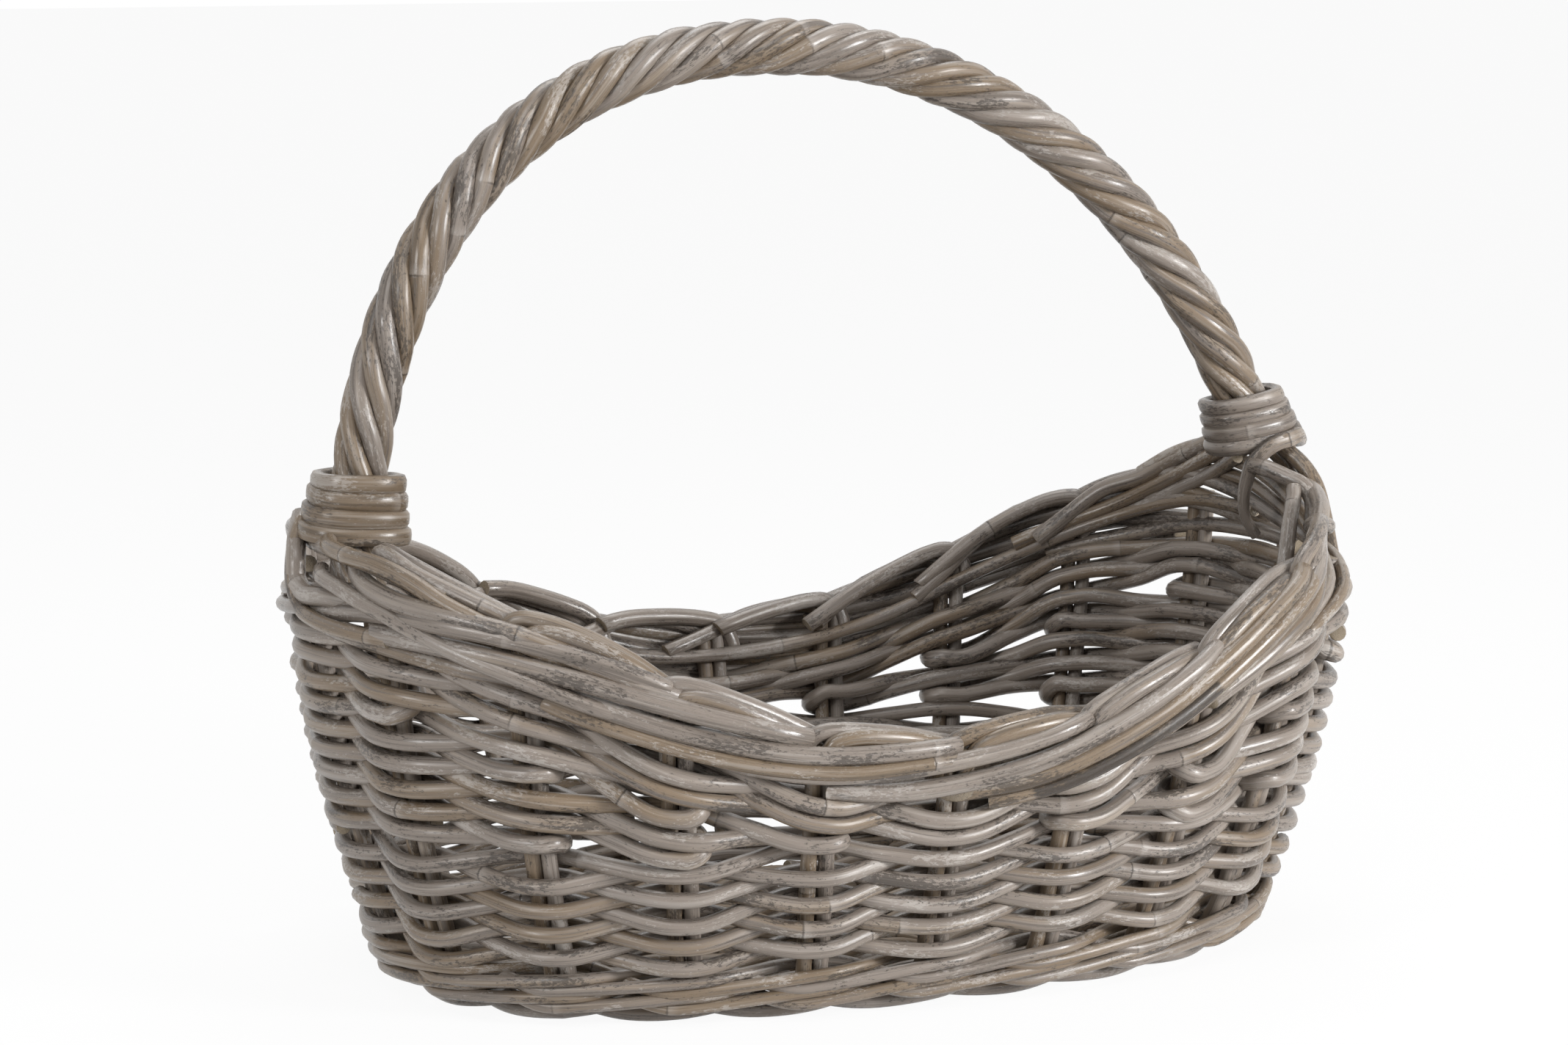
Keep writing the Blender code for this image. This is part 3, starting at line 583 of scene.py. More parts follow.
def frame_pair(way, number, first, second, height, across, seed):
    """Two rods side by side, from the top of one wall to the top of the other."""
    diameter = bpy.context.scene.rod_sizes.stake
    across = Vector(across)
    rods = []
    for i, side in enumerate((1, -1)):
        dice = Random(seed + i)
        there = frame_arm(first, side * OUT_OF_LINE, height, across, dice)
        back = frame_arm(second, -side * OUT_OF_LINE, height, -across, dice)
        shade = 0.75 if i == 0 else 0.25
        rods.append(Rod(there + back[::-1], diameter, seed + i, shade, 0.2))
    nodes = [f"{way}_stake_{number}a", f"{way}_stake_{number}b"]
    lay_rods(f"{way}_pair_{number}", rods, "stake_rattan", nodes)


class LayStakes(bpy.types.Operator):
    """Lay the pairs of stakes that carry the weave"""

    bl_idname = "basket.lay_stakes"
    bl_label = "Lay Stakes"

    def execute(self, context):
        for number, k in enumerate(range(2, LEFT_STAKE - 1), 1):
            frame_pair("cross", number, k, STAKE_PAIRS - k, CROSS_HEIGHT, (0, -1, 0), 100 + 2 * k)
        for number, k in enumerate((-1, 0, 1), 1):
            frame_pair("long", number, k, LEFT_STAKE - k, LONG_HEIGHT, (-1, 0, 0), 140 + 2 * k)
        return {"FINISHED"}


# Weave: each rod passes in front of one pair of stakes and behind the next


# Half the length that a weaver runs straight past a pair of stakes
PASS_FLAT = 0.0052
FLAT_TOP = 0.0857
BAND_DEPTH = 0.0345  # how far under the rim the highest row lies
CURVED_ROWS = 4
CURVED_DIAMETER = 0.0084
PACKED_DIAMETER = 0.0086
# Stakes, counted from each end of the basket, where the packing turns back
TURNS = (-2, 2, -3, 3, -4, 4, -2, 2, -3, 3, -1, 1)
PACKED_ROWS = tuple(zip((1,) + TURNS, TURNS + (-1,)))


def packed_rows(away):
    """How many packed rows pass a stake, counted from the end of the basket."""
    return sum(min(row) <= away <= max(row) for row in PACKED_ROWS)


def from_end(k):
    """Stakes from the nearer end of the basket, negative before it."""
    return (k + LEFT_STAKE // 2) % LEFT_STAKE - LEFT_STAKE // 2


def stacked(k, count):
    """Level of a row over the level rows, when the rows share the room under the border."""
    share = count / (packed_rows(from_end(k)) + CURVED_ROWS + 1)
    return mix(FLAT_TOP, below_rim(k, BAND_DEPTH), share)


class Weaver:
    """Collects the stakes that one weaver passes, then lays its line past them."""

    SPACE = 0.0638  # from one pair of stakes to the next
    LEAN_SHARE = 0.8
    SHOULDER_SHARE = 0.955
    CURL_SHARE = 0.9
    CURL_RISE = 0.1

    def __init__(self, number, diameter=None):
        self.sizes = bpy.context.scene.rod_sizes
        self.diameter = diameter or self.sizes.weaver
        self.dice = Random(number)
        self.number = number
        self.stops = []

    def passes(self, k, height, side, heading=1):
        """Goes past a pair of stakes, outside or inside."""
        self.stops.append((k, height, height, side, heading, False))

    def turns_round(self, k, heading, low, high, side):
        """Turns round a pair of stakes and comes back one row higher."""
        self.stops.append((k, low, high, side, heading, True))

    def rod(self, shade=0.45, spread=0.3):
        line, curls = [], []
        reach = (STAKE_PITCH + self.diameter) / 2 + SEATING
        for i, (k, low, high, side, heading, turned) in enumerate(self.stops):
            angle = stake_angle(k)
            before = self.stops[i - 1] if i else None
            after = self.stops[i + 1] if i + 1 < len(self.stops) else None
            if before:
                level = (before[2] + low) / 2
                line.append(wall_point(stake_angle((before[0] + k) / 2), level))
            drop = side * self.sizes.dip
            if turned:
                for way in (-heading, heading):
                    line.append(wall_point(angle, low - drop / 2, side * reach, way * PASS_FLAT))
                curl = heading * TURN_LAP * self.CURL_SHARE
                curls.append(wall_point(angle, mix(low, high, self.CURL_RISE), side * reach / 2, curl))
                for lap_share, out_share, way_share in TURN_SHARES:
                    out, lap = side * TURN_LAP * out_share, heading * TURN_LAP * lap_share
                    line.append(wall_point(angle, mix(low, high, way_share), out, lap))
                for way in (heading, -heading):
                    line.append(wall_point(angle, high + drop / 2, -side * reach, way * PASS_FLAT))
                continue
            rise = (after[1] if after else low) - (before[2] if before else low)
            lean = rise / (self.SPACE * ((after is not None) + (before is not None))) * self.LEAN_SHARE
            level = low - drop + self.dice.gauss(0, self.sizes.sway)
            for share in (-1, 0, 1):
                sideways = share * PASS_FLAT
                out = side * reach * (self.SHOULDER_SHARE if share else 1.0)
                line.append(wall_point(angle, level + sideways * lean, out, heading * sideways))
        return Rod(line, self.diameter, self.number, shade, spread, curls=curls)


class WeaveWall(bpy.types.Operator):
    """Weave the level rows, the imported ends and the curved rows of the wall"""

    bl_idname = "basket.weave_wall"
    bl_label = "Weave Wall"

    def execute(self, context):
        for letter, start, first_side in (("a", 0, 1), ("b", LEFT_STAKE, -1)):
            self.level_rows(letter, start, first_side)
            self.curved_rows(letter, start, first_side)
        for name, end in (("right", 0), ("left", LEFT_STAKE)):
            self.packed_end(name, end)
        return {"FINISHED"}

    def level_rows(self, letter, start, first_side):
        rise = 2 * bpy.context.scene.rod_sizes.row_pitch / STAKE_PAIRS
        stakes = round(FLAT_ROUNDS * STAKE_PAIRS)
        breaks = [start + 2 * round(stakes * i / RODS_PER_SPIRAL / 2) for i in range(RODS_PER_SPIRAL + 1)]
        for number, (first, last) in enumerate(zip(breaks, breaks[1:]), 1):
            weaver = Weaver(200 + 10 * number + start)
            for k in range(first, last + (number == RODS_PER_SPIRAL)):
                side = first_side if (k - first) % 2 == 0 else -first_side
                weaver.passes(k, FIRST_ROW_HEIGHT + rise * (k - start), side)
            lay_rods(f"level_rod_{letter}{number}", [weaver.rod()], "weaver_rattan",
                     [f"flat_weaver_{letter}{number}"])

    def curved_rows(self, letter, start, first_side):
        """Rows that follow the rim, over the packing and under the border."""
        weaver = Weaver(260 + start, CURVED_DIAMETER)
        for k in range(start, start + round(CURVED_ROUNDS * STAKE_PAIRS) + 1):
            side = first_side if (k - start) % 2 == 0 else -first_side
            risen = (k - start) * CURVED_ROWS / (CURVED_ROUNDS * STAKE_PAIRS)
            weaver.passes(k, stacked(k, packed_rows(from_end(k)) + 1 + risen), side)
        lay_rods(f"curved_rod_{letter}", [weaver.rod()], "weaver_rattan", [f"curved_weaver_{letter}"])

    def packed_end(self, name, end):
        """One rod goes back and forth; each turn lies over the level rows or the last wedge."""
        weaver = Weaver(280 + end, PACKED_DIAMETER)
        laid = {away: 0 for away in range(-5, 6)}
        side = 1 if end == 0 else -1
        for number, (first, last) in enumerate(PACKED_ROWS):
            heading = 1 if last > first else -1
            for away in range(first, last + heading, heading):
                laid[away] += 1
                at = end + away
                turning = number > 0 and away == first
                if not turning and away != last or number == len(PACKED_ROWS) - 1 and away == last:
                    weaver.passes(at, stacked(at, laid[away]), side, heading)
                elif not turning:
                    low, high = stacked(at, laid[away]), stacked(at, laid[away] + 1)
                    weaver.turns_round(at, heading, low, high, side)
                if away != last:
                    side = -side
            side = -side
        lay_rods(f"packed_rod_{name}", [weaver.rod()], "weaver_rattan", [f"{name}_packing_weaver"])


# Handle: a core with six strands laid round it


def handle_curve():
    """The handle's middle line from its left end to its right, with the length run."""
    turns = np.linspace(pi, 0, 4001)
    rise = np.abs(np.sin(turns)) ** (2 / HANDLE_POWER)
    height = HANDLE_SPRING_HEIGHT + HANDLE_RISE * rise
    across = HANDLE_HALF_SPAN * np.sign(np.cos(turns)) * np.abs(np.cos(turns)) ** (2 / HANDLE_POWER)
    across += HANDLE_LEAN_SHARE * (height - HANDLE_SPRING_HEIGHT) + HANDLE_SHIFT
    line = np.stack([across, np.zeros_like(across), height], axis=1)
    run = run_along(line)
    return line, run


HANDLE_LINE, HANDLE_RUN = handle_curve()


def handle_run_at(height, on_left):
    """Length run along the handle where a leg reaches a height."""
    half = len(HANDLE_RUN) // 2
    if on_left:
        return float(np.interp(height, HANDLE_LINE[:half, 2], HANDLE_RUN[:half]))
    return float(np.interp(-height, -HANDLE_LINE[half:, 2], HANDLE_RUN[half:]))


def handle_frame(run):
    """Middle of the handle at a length along it, its direction and its outer side."""
    point = [float(np.interp(run, HANDLE_RUN, HANDLE_LINE[:, axis])) for axis in range(3)]
    after = [float(np.interp(run + MILLIMETRE, HANDLE_RUN, HANDLE_LINE[:, axis])) for axis in range(3)]
    ahead = (Vector(after) - Vector(point)).normalized()
    return Vector(point), ahead, Vector((-ahead.z, 0, ahead.x))


LEFT_END_HEIGHT, RIGHT_END_HEIGHT = 0.1950, 0.2365
HANDLE_ENDS = (handle_run_at(LEFT_END_HEIGHT, True), handle_run_at(RIGHT_END_HEIGHT, False))
HANDLE_RADIUS = 0.0133
CORE_DIAMETER = 0.0090
STRAND_SINK = 0.0002  # how far the strands sink into the core
# Length of one whole turn of a strand, over the top and at the ends
LAY_TOP = 0.106
LAY_LEG = 0.136


class Leg:
    """One leg of the handle, seen along a straight axis through its lashing."""

    def __init__(self, height, pitch, turns, tilt, inner, outer, on_left):
        self.pitch, self.turns, self.tilt = pitch, turns, tilt
        self.inner, self.outer = inner, outer
        run = handle_run_at(height, on_left) + (1 if on_left else -1) * pitch * turns / 2
        middle, ahead, self.out = handle_frame(run)
        self.up = ahead if on_left else -ahead
        self.foot = middle - self.up * pitch * turns / 2

    def place(self, along, out, sideways):
        return self.foot + self.up * (along + self.tilt * out) + self.out * out + Vector((0, sideways, 0))


# Foot of the lashing, rise and number of its turns, its tilt, and how far its rod
# runs from the leg's middle at the bottom and at the top, inside and outside
LEFT_LEG = Leg(0.2206, 0.0084, 4.0, -0.05, (0.0232, 0.0180), (0.0270, 0.0195), True)
RIGHT_LEG = Leg(0.2410, 0.0075, 4.25, -0.28, (0.0245, 0.0172), (0.0221, 0.0183), False)
UPRIGHT_SIDE = 0.0050
UPRIGHT_INSET = 0.0077
UPRIGHT_SHORT = 0.0060


class TwistHandle(bpy.types.Operator):
    """Twist six strands round the core of the handle"""

    bl_idname = "basket.twist_handle"
    bl_label = "Twist Handle"

    TURN_STRAY = 0.03
    RING_STRAY = 0.0003

    def execute(self, context):
        start, end = HANDLE_ENDS
        runs = np.linspace(start, end, 240)
        middle = (start + end) / 2
        away = np.abs(runs - middle) / (middle - start)
        lay = LAY_TOP + (LAY_LEG - LAY_TOP) * away**2
        turned = np.concatenate([[0], np.cumsum(np.diff(runs) * 2 / (lay[1:] + lay[:-1]))])
        core = [handle_frame(run)[0] for run in runs[::6]]
        lay_rods("handle_heart", [Rod(core, CORE_DIAMETER, 500)], "handle_rattan", ["handle_core"])
        diameter = bpy.context.scene.rod_sizes.strand
        for number in range(STRANDS):
            dice = Random(510 + number)
            line = []
            for run, turns in zip(runs[::3], turned[::3]):
                point, _, out = handle_frame(run)
                turn = 2 * pi * (turns + number / STRANDS) + dice.uniform(-self.TURN_STRAY, self.TURN_STRAY)
                ring = (CORE_DIAMETER + diameter) / 2 - STRAND_SINK
                ring += dice.uniform(-self.RING_STRAY, self.RING_STRAY)
                line.append(point + out * ring * cos(turn) + Vector((0, ring * sin(turn), 0)))
            rod = Rod(line, diameter, 510 + number, 0.45, 0.25)
            lay_rods(f"strand_{number + 1}", [rod], "handle_rattan", [f"handle_strand_{number + 1}"])
        return {"FINISHED"}


# Lashings


class WindLashings(bpy.types.Operator):
    """Wind the lashing of each leg and the free end of the right one"""

    bl_idname = "basket.wind_lashings"
    bl_label = "Wind Lashings"

    POINTS_PER_TURN = 24
    SQUARENESS = 2.5
    LOOSE_FOOT = 0.0015  # how much wider the lowest turn is
    PRESSED = 0.72  # thickness that the pressed rod keeps
    LEFT_DIAMETER, LEFT_HALF = 0.0090, 0.0034
    RIGHT_DIAMETER, RIGHT_HALF = 0.0081, 0.0030
    # The free end of the right lashing: along the leg, outwards and to the back
    TAIL = (
        (-0.0385, -0.0238, -0.0125), (-0.0345, -0.0246, -0.0122), (-0.0288, -0.0259, -0.0125),
        (-0.0166, -0.0243, -0.0145), (-0.0076, -0.0198, -0.0165), (-0.0005, -0.0150, -0.0190),
        (0.0030, -0.0100, -0.0215), (0.0050, -0.0020, -0.0225), (0.0035, 0.0080, -0.0215),
        (0.0010, 0.0165, -0.0150),
    )

    def execute(self, context):
        left = self.turns(LEFT_LEG, 0.25, self.LEFT_HALF)
        self.wind("left", LEFT_LEG, Rod(left, self.LEFT_DIAMETER, 600, 1.0, 0.1))
        right = self.tail(RIGHT_LEG) + self.turns(RIGHT_LEG, 0.0, self.RIGHT_HALF)
        self.wind("right", RIGHT_LEG, Rod(right, self.RIGHT_DIAMETER, 601, 0.0, 0.15))
        return {"FINISHED"}

    def wind(self, side_name, leg, rod):
        flat = (leg.up, self.PRESSED)
        lay_rods(f"lashing_{side_name}", [rod], "lashing_rattan", [f"{side_name}_lashing"], flat=flat)

    def turns(self, leg, first, half):
        """Turns that start a share of a turn from the outside; half is half the pressed rod."""
        line = []
        snug = HANDLE_RADIUS + half
        for i in range(round(leg.turns * self.POINTS_PER_TURN) + 1):
            done = i / self.POINTS_PER_TURN
            share = done / leg.turns
            inner, outer = mix(*leg.inner, share), mix(*leg.outer, share)
            turn = 2 * pi * (first + done)
            out = (outer - inner) / 2 + (outer + inner) / 2 * signed_power(cos(turn), 2 / self.SQUARENESS)
            side = (snug + self.LOOSE_FOOT * (1 - share)) * signed_power(sin(turn), 2 / self.SQUARENESS)
            level = done - 0.5 * ease(2 * (done - leg.turns) + 1)
            line.append(leg.place(leg.pitch * level, out, side))
        return line

    def tail(self, leg):
        """The free end, which crosses in front of the leg and hangs inside."""
        return [leg.place(along - leg.tilt * out, out, side) for along, out, side in self.TAIL]


# Rim: rods that roll from the outside over the top to the inside


# Where a border rod lies at each stake it passes: how far out, and how deep under the rim
OUTER_ROUTE = (
    (0.0, 0.70, 0.0320), (0.5, 1.0, 0.0290), (1.0, 1.08, 0.0247), (1.5, 1.08, 0.0200),
    (2.0, 1.04, 0.0152), (2.5, 0.95, 0.0108), (2.8, 0.75, 0.0094), (3.0, 0.30, 0.0098),
)
# Each pair of ends rises at its stake, bends over the top and ends inside the next stake
FIRST_TOP = (
    (-0.12, -0.10, 0.0290), (-0.07, -0.10, 0.0150), (-0.01, -0.10, 0.0092), (0.07, -0.12, 0.0064),
    (0.18, -0.16, 0.0050), (0.45, -0.45, 0.0046), (0.75, -0.80, 0.0070), (1.0, -1.05, 0.0120),
    (1.25, -1.1, 0.0175), (1.6, -1.1, 0.0235),
)
SECOND_TOP = (
    (-0.04, 0.35, 0.0300), (0.02, 0.40, 0.0165), (0.08, 0.45, 0.0105), (0.16, 0.50, 0.0078),
    (0.28, 0.50, 0.0058), (0.5, 0.42, 0.0052), (0.72, 0.15, 0.0070), (0.92, -0.40, 0.0118),
    (1.1, -0.95, 0.0175), (1.35, -1.15, 0.0235), (1.7, -1.15, 0.0290),
)
# How much lower, later and further out the second rod of a pair lies
PAIR_DROP = 0.0048
PAIR_LAG = 0.10
PAIR_SHARE = 0.30
# How much higher the rim lies near the right lashing, by stakes from it towards the back
RIGHT_LIFTS = (
    (-2.0, -1.5, -1.0, -0.5, 0.0, 0.5, 1.0, 1.5, 2.1),
    (0.0, 0.001, 0.002, 0.005, 0.016, 0.019, 0.0172, 0.0085, 0.0))
LEFT_LIFT = 0.0050
# Within so many stakes of a lashing the border's outer rods are pulled in to a share of their
# way out, but only down to a depth; the lift fades with the depth too
RIGHT_PULL, RIGHT_PULLED_SHARE = 2.2, -0.9
LEFT_PULL, LEFT_PULLED_SHARE = 1.6, 0.1
PULL_DEPTH, PULL_FADE = 0.036, 0.014
LIFT_TOP_SHARE, LIFT_FADE = 1.25, 0.028
TURN_PART = 5  # what part of the wall's turn moves a rod away from the stakes, as a divisor
# Rods at the two ends that the border's rule doesn't give: thickness, shade and route.
# Eight are at the left lashing, four at the right one and four along the wall behind that.
END_RODS = (
    (0.0096, 0.30, (
        (-0.2631, 0.0187, 0.2320), (-0.2694, 0.0058, 0.2220), (-0.2721, -0.0027, 0.2130),
        (-0.2727, -0.0048, 0.2050), (-0.2721, -0.0133, 0.2005), (-0.2657, -0.0358, 0.2005),
        (-0.2517, -0.0508, 0.1985),)),
    (0.0076, 0.70, (
        (-0.2656, 0.0077, 0.2320), (-0.2695, 0.0048, 0.2240), (-0.2730, -0.0000, 0.2110),
        (-0.2745, -0.0059, 0.2030), (-0.2736, -0.0142, 0.1935), (-0.2717, -0.0313, 0.1900),
        (-0.2640, -0.0554, 0.1880), (-0.2496, -0.0806, 0.1865),)),
    (0.0086, 0.95, (
        (-0.2574, -0.0101, 0.2245), (-0.2622, -0.0263, 0.2235), (-0.2593, -0.0539, 0.2220),
        (-0.2527, -0.0732, 0.2210), (-0.2409, -0.0940, 0.2145), (-0.2321, -0.1059, 0.2075),
        (-0.2201, -0.1186, 0.2005), (-0.2050, -0.1298, 0.1925), (-0.1787, -0.1411, 0.1810),
        (-0.1501, -0.1477, 0.1680),)),
    (0.0078, 0.25, (
        (-0.2643, -0.0203, 0.2115), (-0.2666, -0.0268, 0.2105), (-0.2639, -0.0502, 0.2070),
        (-0.2586, -0.0676, 0.2030), (-0.2507, -0.0847, 0.1985), (-0.2424, -0.0980, 0.1930),
        (-0.2285, -0.1143, 0.1855), (-0.2002, -0.1368, 0.1735), (-0.1668, -0.1505, 0.1600),
        (-0.1298, -0.1557, 0.1490), (-0.1157, -0.1536, 0.1450),)),
    (0.0098, 0.30, (
        (-0.2531, -0.0424, 0.2190), (-0.2548, -0.0504, 0.2140), (-0.2539, -0.0716, 0.2090),
        (-0.2475, -0.0870, 0.2055), (-0.2353, -0.1048, 0.2025), (-0.2201, -0.1198, 0.1990),
        (-0.1999, -0.1346, 0.1930), (-0.1738, -0.1470, 0.1820), (-0.1446, -0.1541, 0.1690),
        (-0.1228, -0.1532, 0.1600),)),
    (0.0078, 0.35, (
        (-0.2433, -0.0445, 0.2215), (-0.2448, -0.0565, 0.2235), (-0.2435, -0.0694, 0.2225),
        (-0.2377, -0.0849, 0.2175), (-0.2250, -0.1005, 0.2105), (-0.2074, -0.1163, 0.2015),
        (-0.1956, -0.1233, 0.1955), (-0.1743, -0.1325, 0.1840),)),
    (0.0076, 0.45, (
        (-0.2411, -0.0365, 0.2200), (-0.2411, -0.0519, 0.2235), (-0.2381, -0.0667, 0.2215),
        (-0.2212, -0.0943, 0.2115), (-0.1947, -0.1166, 0.1965), (-0.1777, -0.1251, 0.1860),)),
    (0.0084, 0.40, (
        (-0.2618, 0.0408, 0.1890), (-0.2661, -0.0104, 0.1860), (-0.2587, -0.0473, 0.1840),
        (-0.2465, -0.0789, 0.1815), (-0.2252, -0.1079, 0.1770), (-0.1949, -0.1289, 0.1700),)),
    (0.0086, 0.55, (
        (0.2285, -0.0190, 0.2350), (0.2330, -0.0255, 0.2340), (0.2397, -0.0350, 0.2305),
        (0.2465, -0.0430, 0.2262), (0.2497, -0.0455, 0.2200), (0.2503, -0.0462, 0.2100),
        (0.2495, -0.0480, 0.2030),)),
    (0.0080, 0.05, (
        (0.2412, -0.0425, 0.2262), (0.2398, -0.0450, 0.2225), (0.2323, -0.0550, 0.2098),
        (0.2282, -0.0600, 0.1984), (0.2255, -0.0625, 0.1870), (0.2225, -0.0660, 0.1790),)),
    (0.0086, 0.60, (
        (0.2395, -0.0040, 0.2470), (0.2480, -0.0120, 0.2430), (0.2555, -0.0220, 0.2355),
        (0.2600, -0.0300, 0.2248), (0.2625, -0.0350, 0.2097), (0.2618, -0.0410, 0.2000),
        (0.2595, -0.0500, 0.1900),)),
    (0.0092, 0.80, (
        (0.2380, -0.0040, 0.2480), (0.2430, -0.0080, 0.2440), (0.2530, -0.0120, 0.2330),
        (0.2590, -0.0120, 0.2180), (0.2600, -0.0100, 0.2030),)),
    (0.0092, 0.45, (
        (0.2467, 0.0579, 0.2365), (0.2418, 0.0708, 0.2305), (0.2334, 0.0844, 0.2220),
        (0.2250, 0.0932, 0.2145), (0.2058, 0.1088, 0.2050), (0.1909, 0.1176, 0.1915),
        (0.1750, 0.1245, 0.1775),)),
    (0.0080, 0.75, (
        (0.2468, 0.0442, 0.2340), (0.2433, 0.0605, 0.2265), (0.2348, 0.0782, 0.2155),
        (0.2244, 0.0918, 0.2065), (0.2064, 0.1086, 0.1945), (0.1863, 0.1222, 0.1850),
        (0.1647, 0.1316, 0.1745),)),
    (0.0076, 0.55, (
        (0.2475, 0.0313, 0.2315), (0.2451, 0.0553, 0.2195), (0.2353, 0.0785, 0.2075),
        (0.2193, 0.0991, 0.1945), (0.2011, 0.1157, 0.1855), (0.1816, 0.1296, 0.1750),)),
    (0.0082, 0.35, (
        (0.1843, 0.1307, 0.1690), (0.2075, 0.1158, 0.1765), (0.2271, 0.0979, 0.1830),
        (0.2380, 0.0843, 0.1872), (0.2492, 0.0643, 0.1905), (0.2574, 0.0385, 0.1915),
        (0.2605, 0.0111, 0.1912), (0.2602, -0.0144, 0.1895),)),
)


def border_point(k, share, depth, diameter):
    """A point of the border; near the lashings it lies higher and further in."""
    from_right = (k + LEFT_STAKE) % STAKE_PAIRS - LEFT_STAKE
    away = min(abs(from_right), LEFT_STAKE - abs(from_right))
    if abs(from_right) < LEFT_STAKE / 2:
        lift = np.interp(from_right, *RIGHT_LIFTS)
        pull, pulled_share = RIGHT_PULL, RIGHT_PULLED_SHARE
    else:
        lift = LEFT_LIFT * ease(1 - away / 2)
        pull, pulled_share = LEFT_PULL, LEFT_PULLED_SHARE
    if share > LEFT_PULLED_SHARE:
        pulled = ease(pull - away) * ease((PULL_DEPTH - depth) / PULL_FADE)
        share = mix(share, pulled_share, pulled)
    offset = share * ((STAKE_PITCH + diameter) / 2 + OUT_OF_LINE * abs(wall_turn(k)) / TURN_PART)
    lift *= min(max(LIFT_TOP_SHARE - depth / LIFT_FADE, 0), 1)
    return wall_point(stake_angle(k), below_rim(k, depth) + lift, offset)


class LayRim(bpy.types.Operator):
    """Lay the rolled border, the rods inside it and their ends at the handle"""

    bl_idname = "basket.lay_rim"
    bl_label = "Lay Rim"

    BURNT_ROD = (15, 1)  # the dark second rod at the front right
    DOUBLED = (1, 2, 3, 4, 5, 6, 7, 9, 12, 15, 18, 19)  # stakes with a second outer rod
    # Stakes at the lashings, where no ends bend over the top
    WITHOUT_TOP = (0, 1, LEFT_STAKE, LEFT_STAKE + 1, STAKE_PAIRS - 1)
    OUTER_STRAY = 0.0006
    # Outer and top rods that end early, near a lashing, and after how many stakes
    SHORT_RODS = {STAKE_PAIRS - 3: 2.0, LEFT_STAKE - 3: 2.5, LEFT_STAKE - 2: 2.0, LEFT_STAKE - 1: 2.0}
    SHORT_TOPS = {LEFT_STAKE - 2: 0.8, LEFT_STAKE - 1: 0.8}
    THINNING = 0.16  # of the second rod of a pair
    INNER_DIAMETER = 0.0074
    INNER_DEPTH = 0.0250
    INNER_SHARE = 0.25  # how far from the lashings' stakes the inner rods end
    # Route of the rods that bend up beside a leg: stakes from it, and depth in diameters
    UPRIGHT_ROUTE = ((1.5, 1.2), (1.2, 0.8), (0.8, 0.5), (0.45, 0.5))

    def execute(self, context):
        rods = []
        for k in range(STAKE_PAIRS):
            for second in (0, 1):
                if not second or k in self.DOUBLED:
                    rods.append(self.outer_rod(k, second))
                if k not in self.WITHOUT_TOP:
                    rods.append(self.top_rod(k, second))
        lay_rods("rolled_border", rods, "rim_rattan", [
            "outer_rim_rod_high", "outer_rim_rod_low", "inner_back_rod_high", "inner_front_rod_high"])
        for side_name, first in (("back", 0), ("front", LEFT_STAKE)):
            self.inner_rod(side_name, first)
            self.upright_rods(side_name)
        return {"FINISHED"}

    def outer_rod(self, k, second):
        """A rod that climbs the outside; a second one lies below it and further out."""
        dice = Random(300 + 2 * k + second)
        diameter = bpy.context.scene.rod_sizes.border * dice.uniform(0.96, 1.14)
        diameter *= 1 - self.THINNING * second
        stray, early = dice.gauss(0, self.OUTER_STRAY), dice.uniform(-0.1, 0.1)
        last = self.SHORT_RODS.get(k, 3.0)
        line = [
            border_point(k + phase + early + second * PAIR_LAG, share + second * PAIR_SHARE,
                         depth + stray + second * PAIR_DROP, diameter)
            for phase, share, depth in OUTER_ROUTE if phase <= last
        ]
        out = (line[0] - Vector((0, 0, line[0].z))).normalized()
        cuts = (out * dice.uniform(-1.6, 1.6), None)
        rod = Rod(line, diameter, 300 + 2 * k + second, self.shade(k), 0.4, cuts)
        if (k, second) == self.BURNT_ROD:
            rod.shade[4: len(rod.shade) * 5 // 9] = 1.5
        return rod

    def top_rod(self, k, second):
        """A stake's end, bent over the rim's top."""
        dice = Random(350 + 2 * k + second)
        diameter = bpy.context.scene.rod_sizes.border * dice.uniform(0.92, 1.06)
        stray, shift = dice.gauss(0, STRAY), dice.uniform(-0.04, 0.04)
        last = self.SHORT_TOPS.get(k, dice.uniform(1.1, 1.45) + 0.15 * second)
        line = [
            border_point(k + phase + shift, share, depth + stray, diameter)
            for phase, share, depth in (SECOND_TOP if second else FIRST_TOP) if phase <= last
        ]
        cuts = (None, Vector((0, 0, dice.uniform(-0.5, 0.3))))
        return Rod(line, diameter, 350 + 2 * k + second, self.shade(k), 0.4, cuts)

    def shade(self, k):
        """The rods at the back, stakes 1 to 9, get a paler, greyer tone: painted light for the light that
        falls on the back of the rim.
        """
        # painted light: a lower shade makes the back half of the rim paler than the front
        return 0.2 if 0 < k < LEFT_STAKE else 0.5

    def end_rods(self):
        """Rods that leave the lashings, kink into the rim or fill the wall behind it."""
        return [
            Rod([Vector(stop) for stop in stops], width, 370 + number, shade, 0.1)
            for number, (width, shade, stops) in enumerate(END_RODS)
        ]

    def inner_rod(self, side_name, first):
        """A rod along the inside, from one lashing to the other."""
        diameter = self.INNER_DIAMETER
        dice = Random(340 + first)
        halves = (i / 2 for i in range(1, 2 * LEFT_STAKE))
        line = []
        for past in (self.INNER_SHARE, *halves, LEFT_STAKE - self.INNER_SHARE):
            depth = self.INNER_DEPTH + dice.gauss(0, STRAY)
            line.append(border_point(first + past, -1.0, depth, diameter))
        lay_rods(f"inner_{side_name}_rod", [Rod(line, diameter, 340 + first)], "rim_rattan",
                 [f"inner_{side_name}_rod_low"])

